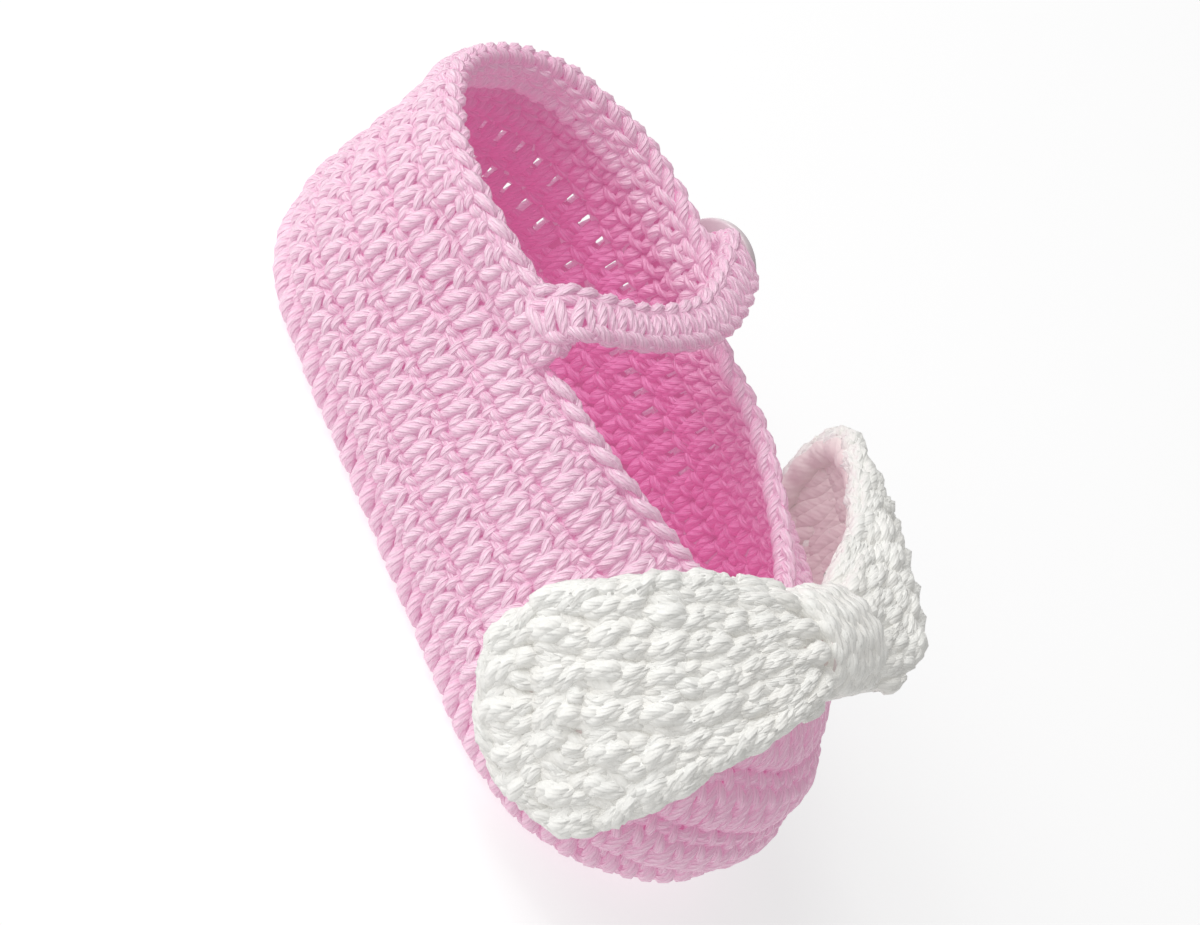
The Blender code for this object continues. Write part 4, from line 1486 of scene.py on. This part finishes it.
class BOOTIE_OT_button(bpy.types.Operator):
    """The domed button on the strap's end"""

    bl_idname = "bootie.button"
    bl_label = "Button"

    def execute(self, context):
        bpy.ops.object.select_all(action="DESELECT")
        radius = BUTTON_DIAMETER / 2.0 * MM
        bpy.ops.mesh.primitive_cylinder_add(
            vertices=BUTTON_SIDES, radius=radius, depth=BUTTON_RIM * MM, end_fill_type="NGON",
            location=(0, 0, 0))
        made = context.object
        made.name = "button_dome"
        bpy.ops.object.mode_set(mode="EDIT")
        bpy.ops.mesh.select_mode(type="FACE")
        bpy.ops.mesh.select_all(action="DESELECT")
        bpy.ops.object.mode_set(mode="OBJECT")
        for face in made.data.polygons:
            face.select = face.normal.z > 0.9
        bpy.ops.object.mode_set(mode="EDIT")
        for inset, lift in BUTTON_DOME:
            bpy.ops.mesh.inset(thickness=inset * MM)
            bpy.ops.transform.translate(value=(0.0, 0.0, lift * MM))
        bpy.ops.object.mode_set(mode="OBJECT")
        round_off = made.modifiers.new("round off", "BEVEL")
        round_off.width = BUTTON_BEVEL * MM
        round_off.segments = 3
        round_off.limit_method = "ANGLE"
        bpy.ops.object.modifier_apply(modifier=round_off.name)
        smooth = made.modifiers.new("smooth", "SUBSURF")
        smooth.levels = 1
        smooth.render_levels = 1
        bpy.ops.object.modifier_apply(modifier=smooth.name)
        made.rotation_euler = (-math.pi / 2.0, 0.0, 0.0)
        x, y, z = BUTTON_PLACE
        made.location = (x * MM, (y + BUTTON_RIM / 2.0) * MM, z * MM)
        bpy.ops.object.transform_apply(location=True, rotation=True, scale=True)
        bpy.ops.object.shade_smooth()
        plastic = button_finish("button plastic", tuple(context.scene.bootie_colours.button))
        dress(made, plastic, "button_plastic", "button")
        return {"FINISHED"}


def bow_frames(first, last, count):
    """The bow's middle line between two rows of its table, and its sizes and ways there."""
    table = np.array([row[1:] for row in BOW_ROWS])
    rows = np.arange(len(table), dtype=float)
    places = np.linspace(first, last, count)
    dense = smooth_through(rows, table, places)
    middle = dense[:, :3]
    width, thick, toe_in, toe_down, cup = dense[:, 3:].T
    knots = np.linspace(0.0, rows[-1], 800)
    whole = smooth_through(rows, table[:, :3], knots)
    step = 0.05
    ahead = spread(knots, whole, np.clip(places + step, 0.0, rows[-1]))
    behind = spread(knots, whole, np.clip(places - step, 0.0, rows[-1]))
    across = unit(np.stack([np.ones(count), toe_in, toe_down], axis=1))
    through = unit(np.cross(across, unit(ahead - behind)))
    return middle, across, through, width, thick, cup


class BOOTIE_OT_bow(bpy.types.Operator):
    """Both wings of the bow: ribs of plump stitches, and scalloped edges"""

    bl_idname = "bootie.bow"
    bl_label = "Bow"

    def execute(self, context):
        yarn = context.scene.bootie_yarn
        radius = yarn.white_girth / MM / 2.0
        # The back and the backing carry painted pink reflected light and shade
        white, shaded, dim = white_materials()
        work = YarnWork(seed=51)
        under = YarnWork(seed=53)
        back = YarnWork(seed=52)
        for form in (INNER_WING, OUTER_WING):
            self.wing((work, under, back), form, radius, yarn)
        for first, last in (INNER_GATHER, OUTER_GATHER):
            self.gather(work, first, last, radius)
        dress(work.make("bow_stitches"), white, "white_yarn", "bow_band")
        dress(under.make("bow_under_stitches"), white, "white_yarn")
        dress(back.make("bow_back_stitches"), shaded, "white_yarn")
        dress(core_of("bow_band", "bow_core", BOW_CORE), dim, "white_yarn")
        return {"FINISHED"}

    def gather(self, work, first, last, radius):
        """Plump pleats that run from a wing into the knot, all round the band's neck."""
        middle, across, through, width, thick, _ = bow_frames(first, last, PLEAT_STEPS)
        width = np.maximum(width, NECK_ACROSS)
        thick = np.maximum(thick, NECK_TALL)
        ramp = np.linspace(*PLEAT_RAMP, PLEAT_STEPS).clip(0.0, 1.0)
        places = np.linspace(0.0, 3.0, PLEAT_STEPS)
        # Painted shade, the same all along the pleats
        depth = np.full((1, PLEAT_STEPS), PLEAT_SHADE)
        for number in range(PLEATS):
            angle = TURN * (number + work.chance.normal(0.0, PLEAT_UNEVEN)) / PLEATS
            side = np.cos(angle) * (width / 2.0 - radius * PLEAT_SIDE_SINK)
            lift = np.sin(angle) * (thick / 2.0 - radius * (PLEAT_SINK - ramp))
            path = middle + side[:, None] * across + lift[:, None] * through
            facing = unit(np.cos(angle) * across + np.sin(angle) * through)
            lumps = 1.0 + PLEAT_LUMP * np.sin(TURN * (places + work.chance.random()))
            girth = radius * np.linspace(*PLEAT_GIRTH, PLEAT_STEPS) * lumps * ramp
            work.wind(path[None], facing[None], girth[None], depth, sides=6, flat=0.9, plies=PLIES)

    def wing(self, works, form, radius, yarn):
        """One wing, from its tip to the knot, on both faces, and the chain round its edge."""
        work, under, back = works
        frames = bow_frames(form.tip, form.neck, WING_STEPS)
        middle, across, through, width, thick, cup = frames
        travel = travel_along(middle)
        length = travel[-1]
        broad = width.max()
        spans = np.where(np.arange(WING_STEPS) < width.argmax(), broad, width)
        table = np.column_stack([middle, across, through, width, spans, thick, cup])
        rib = broad / yarn.ribs
        rows = int(round(length / (yarn.bow_row / MM)))
        # The ribs lean most at the tip and not at all at the neck, and the rows lean with them
        places = np.linspace(-TIP_SPARE * length, length, FACE_PLACES)
        slope = form.lean * np.clip((length - places) / (LEAN_FADE * length), 0.0, 1.0)
        drift = np.cumsum(slope[::-1])[::-1] * (places[1] - places[0])
        ribs = yarn.ribs + int(np.ceil(drift[0] / rib))
        side = np.linspace(-broad / 2.0, ribs * rib - broad / 2.0, FACE_SIDES) - drift[:, None]
        wave = TURN * (places[:, None] / (2.0 * length / rows) + RIB_SHIFT * side / rib)
        side = side + RIB_WAVE * np.sin(wave)
        place = places[:, None] - slope[:, None] * side
        dense = spread(travel, table, np.clip(place, 1.0, length))
        outside = CRUSH * np.minimum(place - 1.0, 0.0)
        centre, sideways, outward = (dense[..., first:first + 3] for first in (0, 3, 6))
        wide, span, thickness, hollow = (dense[..., column] for column in (9, 10, 11, 12))
        grid = (places, slope, drift)
        cells = self.wing_cells(work.chance, ribs, rows, rib, grid, (travel, width, spans))
        for hand, inset in ((1.0, FRONT_INSET), (-1.0, BACK_INSET)):
            limit = np.maximum(wide / 2.0 - inset, 0.0)
            offset = side * span / broad
            inside = np.clip(offset, -limit, limit)
            offset = inside + CRUSH * (offset - inside)
            share = np.clip(np.abs(offset) / span * 2.0, 0.0, 1.0)
            deep = (1.0 - share ** EDGE_ROUND) ** EDGE_FALL
            depth = np.maximum((thickness / 2.0 - radius * FACE_SINK) * deep, BOW_FACE) * hand
            depth = depth - hollow * share * share
            points = centre + offset[..., None] * sideways + depth[..., None] * outward
            points = points + outside[..., None] * unit(middle[1] - middle[0])
            facing = hand * outward.transpose(1, 0, 2)
            face = Cloth(points.transpose(1, 0, 2), facing=facing)
            face.outward = unit(face.outward + facing)
            if hand > 0.0:
                work.lay(face, cells, BOW_STITCH, radius, steps=8, sides=5,
                         looseness=2.0, plies=PLIES)
                under.lay(face, cells, BOW_UNDER, radius, steps=6, sides=6)
            else:
                back.lay(face, cells, BOW_BACK, radius, steps=7, sides=6, flat=0.5)
        self.rim(works, frames, radius)

    def rim(self, works, frames, radius):
        """The chain round a wing's edge, with a strand under it and one that lines its back."""
        work, under, back = works
        middle, across, through, width, _, cup = frames
        reach = (width / 2.0 - RIM_INSET)[:, None] * across
        sunk = middle - (cup * RIM_CUP)[:, None] * through
        toe_side = sunk + reach
        heel_side = sunk - reach
        edge = np.concatenate([toe_side[::-1][::RIM_HOP], heel_side[::RIM_HOP]])
        path, length = even_path(edge, RIM_STEPS)
        way = unit(np.gradient(path, axis=0))
        nearest = np.argmin(np.linalg.norm(path[:, None] - middle[None], axis=2), axis=1)
        out = through[nearest]
        up = unit(np.cross(out, way))
        inward = middle[nearest] - path
        up = up * -np.sign((up * inward).sum(axis=1, keepdims=True))
        links = int(round(length / BOW_CHAIN.link))
        chain = path + RIM_FRONT * out
        work.rope(chain, out, up, links, BOW_CHAIN, radius, steps=10, sides=5, plies=PLIES)
        even = np.ones(RIM_STEPS)
        way_in = nearest / (WING_STEPS - 1.0)
        fade = np.clip((LINING_END - way_in) / LINING_FADE, LINING_LEAST, 1.0)
        lumps = np.sin(TURN * np.arange(RIM_STEPS) / LINING_LUMP_STEPS)
        fade = fade * (1.0 + LINING_LUMP * lumps)
        # The lining strand goes with the back, in painted pink reflected light and shade
        for yarn_work, form, swell in ((under, RIM_UNDER, even), (back, RIM_LINING, fade)):
            line = path + form.inward * unit(inward) + form.front * out
            radii = radius * form.girth * swell
            yarn_work.add(line[None], out[None], radii[None], RIM_SHADE * even[None], 8, form.tall)

    def wing_cells(self, chance, ribs, rows, rib, grid, outline):
        """The cells of a wing whose middles lie inside its outline."""
        places, slope, drift = grid
        travel, width, spans = outline
        length = travel[-1]
        broad = spans.max()
        starts = []
        lows = []
        girths = []
        for number in range(ribs):
            for row in range(-2, rows):
                low = (row + chance.normal(0.0, ROW_UNEVEN)) / rows
                place = (low + 0.5 / rows) * length
                side = (number + 0.5) * rib - broad / 2.0 - np.interp(place, places, drift)
                place = place - np.interp(place, places, slope) * side
                squeeze = np.interp(place, travel, spans) / broad
                half = np.interp(place, travel, width) / 2.0
                if place < CELL_MARGIN or abs(side * squeeze) > half - CELL_MARGIN:
                    continue
                starts.append(number / ribs)
                lows.append((low * length - places[0]) / (length - places[0]))
                girths.append(np.clip(squeeze * CROWDED_GAIN, CROWDED_GIRTH, 1.0))
        ones = np.ones(len(starts))
        tall = length / rows / (length - places[0])
        return np.array(starts), ones / ribs, np.array(lows), ones * tall, np.array(girths)


class BOOTIE_OT_knot(bpy.types.Operator):
    """The yarn wrapped round the middle of the bow"""

    bl_idname = "bootie.knot"
    bl_label = "Knot"

    def execute(self, context):
        radius = context.scene.bootie_yarn.white_girth / MM / 2.0 * 1.05
        # The backing of the core carries painted pink reflected light and shade
        white, _, dim = white_materials()
        work = YarnWork(seed=61)
        angle = np.linspace(-0.25, 0.75, KNOT_STEPS) * TURN
        for number in range(KNOT_WRAPS):
            share = (number + 0.5) / KNOT_WRAPS * 2.0 - 1.0
            lean = work.chance.normal(*KNOT_LEAN)
            swell = 1.0 - KNOT_NARROW * share * share + work.chance.normal(0.0, KNOT_UNEVEN)
            x = np.cos(angle) * (KNOT_ACROSS / 2.0 - radius) * swell
            z = np.sin(angle) * (KNOT_TALL / 2.0 - radius) * swell
            y = share * (KNOT_LENGTH / 2.0 - radius * 0.5) + lean * np.cos(angle)
            path = np.stack([x, y, z], axis=1) + np.array(KNOT_CENTRE)
            facing = unit(np.stack([np.cos(angle), 0.0 * angle, np.sin(angle)], axis=1))
            lumps = np.sin(KNOT_LUMPS * angle + TURN * work.chance.random())
            girth = radius * (KNOT_GIRTH + KNOT_LUMP * lumps)
            # Painted shade in the hollows between a wrap's lumps
            depth = np.clip(0.25 - 0.30 * lumps, 0.0, 1.0)
            strand = (path[None], facing[None], girth[None], depth[None])
            work.wind(*strand, sides=6, flat=0.85, plies=PLIES)
        dress(work.make("bow_knot_wraps"), white, "white_yarn", "bow_knot")
        dress(core_of("bow_knot", "bow_knot_core", KNOT_CORE), dim, "white_yarn")
        return {"FINISHED"}


class BOOTIE_OT_stage(bpy.types.Operator):
    """Floor, soft lights and the camera"""

    bl_idname = "bootie.stage"
    bl_label = "Stage"

    def execute(self, context):
        stage = context.scene.bootie_stage
        bpy.ops.object.select_all(action="DESELECT")
        bpy.ops.mesh.primitive_plane_add(size=FLOOR_SIZE, location=(0.0, 0.0, 0.0))
        floor = context.object
        floor.name = "floor"
        paper = floor_finish("floor paper", tuple(context.scene.bootie_colours.floor))
        floor.data.materials.append(paper)
        aim = np.array(AIM) * MM
        level = math.cos(stage.elevation)
        east = math.sin(stage.azimuth)
        north = math.cos(stage.azimuth)
        back = np.array([east * level, -north * level, math.sin(stage.elevation)])
        right = np.array([north, east, 0.0])
        up = np.cross(back, right)
        turned_right = math.cos(stage.roll) * right + math.sin(stage.roll) * up
        turned_up = math.cos(stage.roll) * up - math.sin(stage.roll) * right
        bpy.ops.object.camera_add()
        camera = context.object
        camera.name = "camera"
        centre = aim + turned_right * stage.step_right + turned_up * stage.step_up
        self.stand(camera, turned_right, turned_up, back, centre + back * stage.distance)
        camera.data.lens = stage.lens
        camera.data.sensor_width = SENSOR
        camera.data.clip_start = 0.01
        context.scene.camera = camera
        self.lamp(KEY_LAMP, aim, stage.key_power)
        self.lamp(FILL_LAMP, aim, stage.fill_power)
        world = bpy.data.worlds.new("white surroundings")
        world.use_nodes = True
        sky = world.node_tree.nodes["Background"]
        sky.inputs["Color"].default_value = (1.0, 1.0, 1.0, 1.0)
        sky.inputs["Strength"].default_value = stage.sky
        context.scene.world = world
        context.scene.view_settings.view_transform = "Standard"
        return {"FINISHED"}

    def stand(self, made, right, up, back, place):
        """Puts a camera or a lamp at its place, turned so that it looks away from its back."""
        matrix = np.eye(4)
        matrix[:3] = np.column_stack([right, up, back, place])
        made.matrix_world = [list(column) for column in matrix.T]

    def lamp(self, form, aim, power):
        """A square soft light turned to the shoe."""
        place = aim + np.array(form.place)
        bpy.ops.object.light_add(type="AREA", location=tuple(place))
        made = bpy.context.object
        made.name = form.name
        made.data.energy = power
        made.data.size = form.size
        back = unit(place - aim)
        right = unit(np.cross(np.array([0.0, 0.0, 1.0]), back))
        self.stand(made, right, np.cross(back, right), back, place)


class BOOTIE_PT_panel(bpy.types.Panel):
    """Lists the pieces of the bootie"""

    bl_idname = "BOOTIE_PT_panel"
    bl_label = "Crochet baby bootie"
    bl_space_type = "VIEW_3D"
    bl_region_type = "UI"
    bl_category = "Bootie"

    def draw(self, context):
        for step in STEPS:
            self.layout.operator(step.bl_idname)


GROUPS = (
    ("bootie_yarn", BootieYarn),
    ("bootie_colours", BootieColours),
    ("bootie_stage", BootieStage),
)
STEPS = (
    BOOTIE_OT_stage,
    BOOTIE_OT_upper,
    BOOTIE_OT_sole,
    BOOTIE_OT_ankle_strap,
    BOOTIE_OT_throat_edging,
    BOOTIE_OT_button,
    BOOTIE_OT_bow,
    BOOTIE_OT_knot,
)


def register():
    for label, group in GROUPS:
        bpy.utils.register_class(group)
        setattr(bpy.types.Scene, label, bpy.props.PointerProperty(type=group))
    for step in STEPS:
        bpy.utils.register_class(step)
    bpy.utils.register_class(BOOTIE_PT_panel)


def unregister():
    bpy.utils.unregister_class(BOOTIE_PT_panel)
    for step in reversed(STEPS):
        bpy.utils.unregister_class(step)
    for label, group in reversed(GROUPS):
        delattr(bpy.types.Scene, label)
        bpy.utils.unregister_class(group)


def main():
    register()
    bpy.ops.bootie.stage()
    bpy.ops.bootie.upper()
    bpy.ops.bootie.sole()
    bpy.ops.bootie.ankle_strap()
    bpy.ops.bootie.throat_edging()
    bpy.ops.bootie.button()
    bpy.ops.bootie.bow()
    bpy.ops.bootie.knot()


if __name__ == "__main__":
    main()
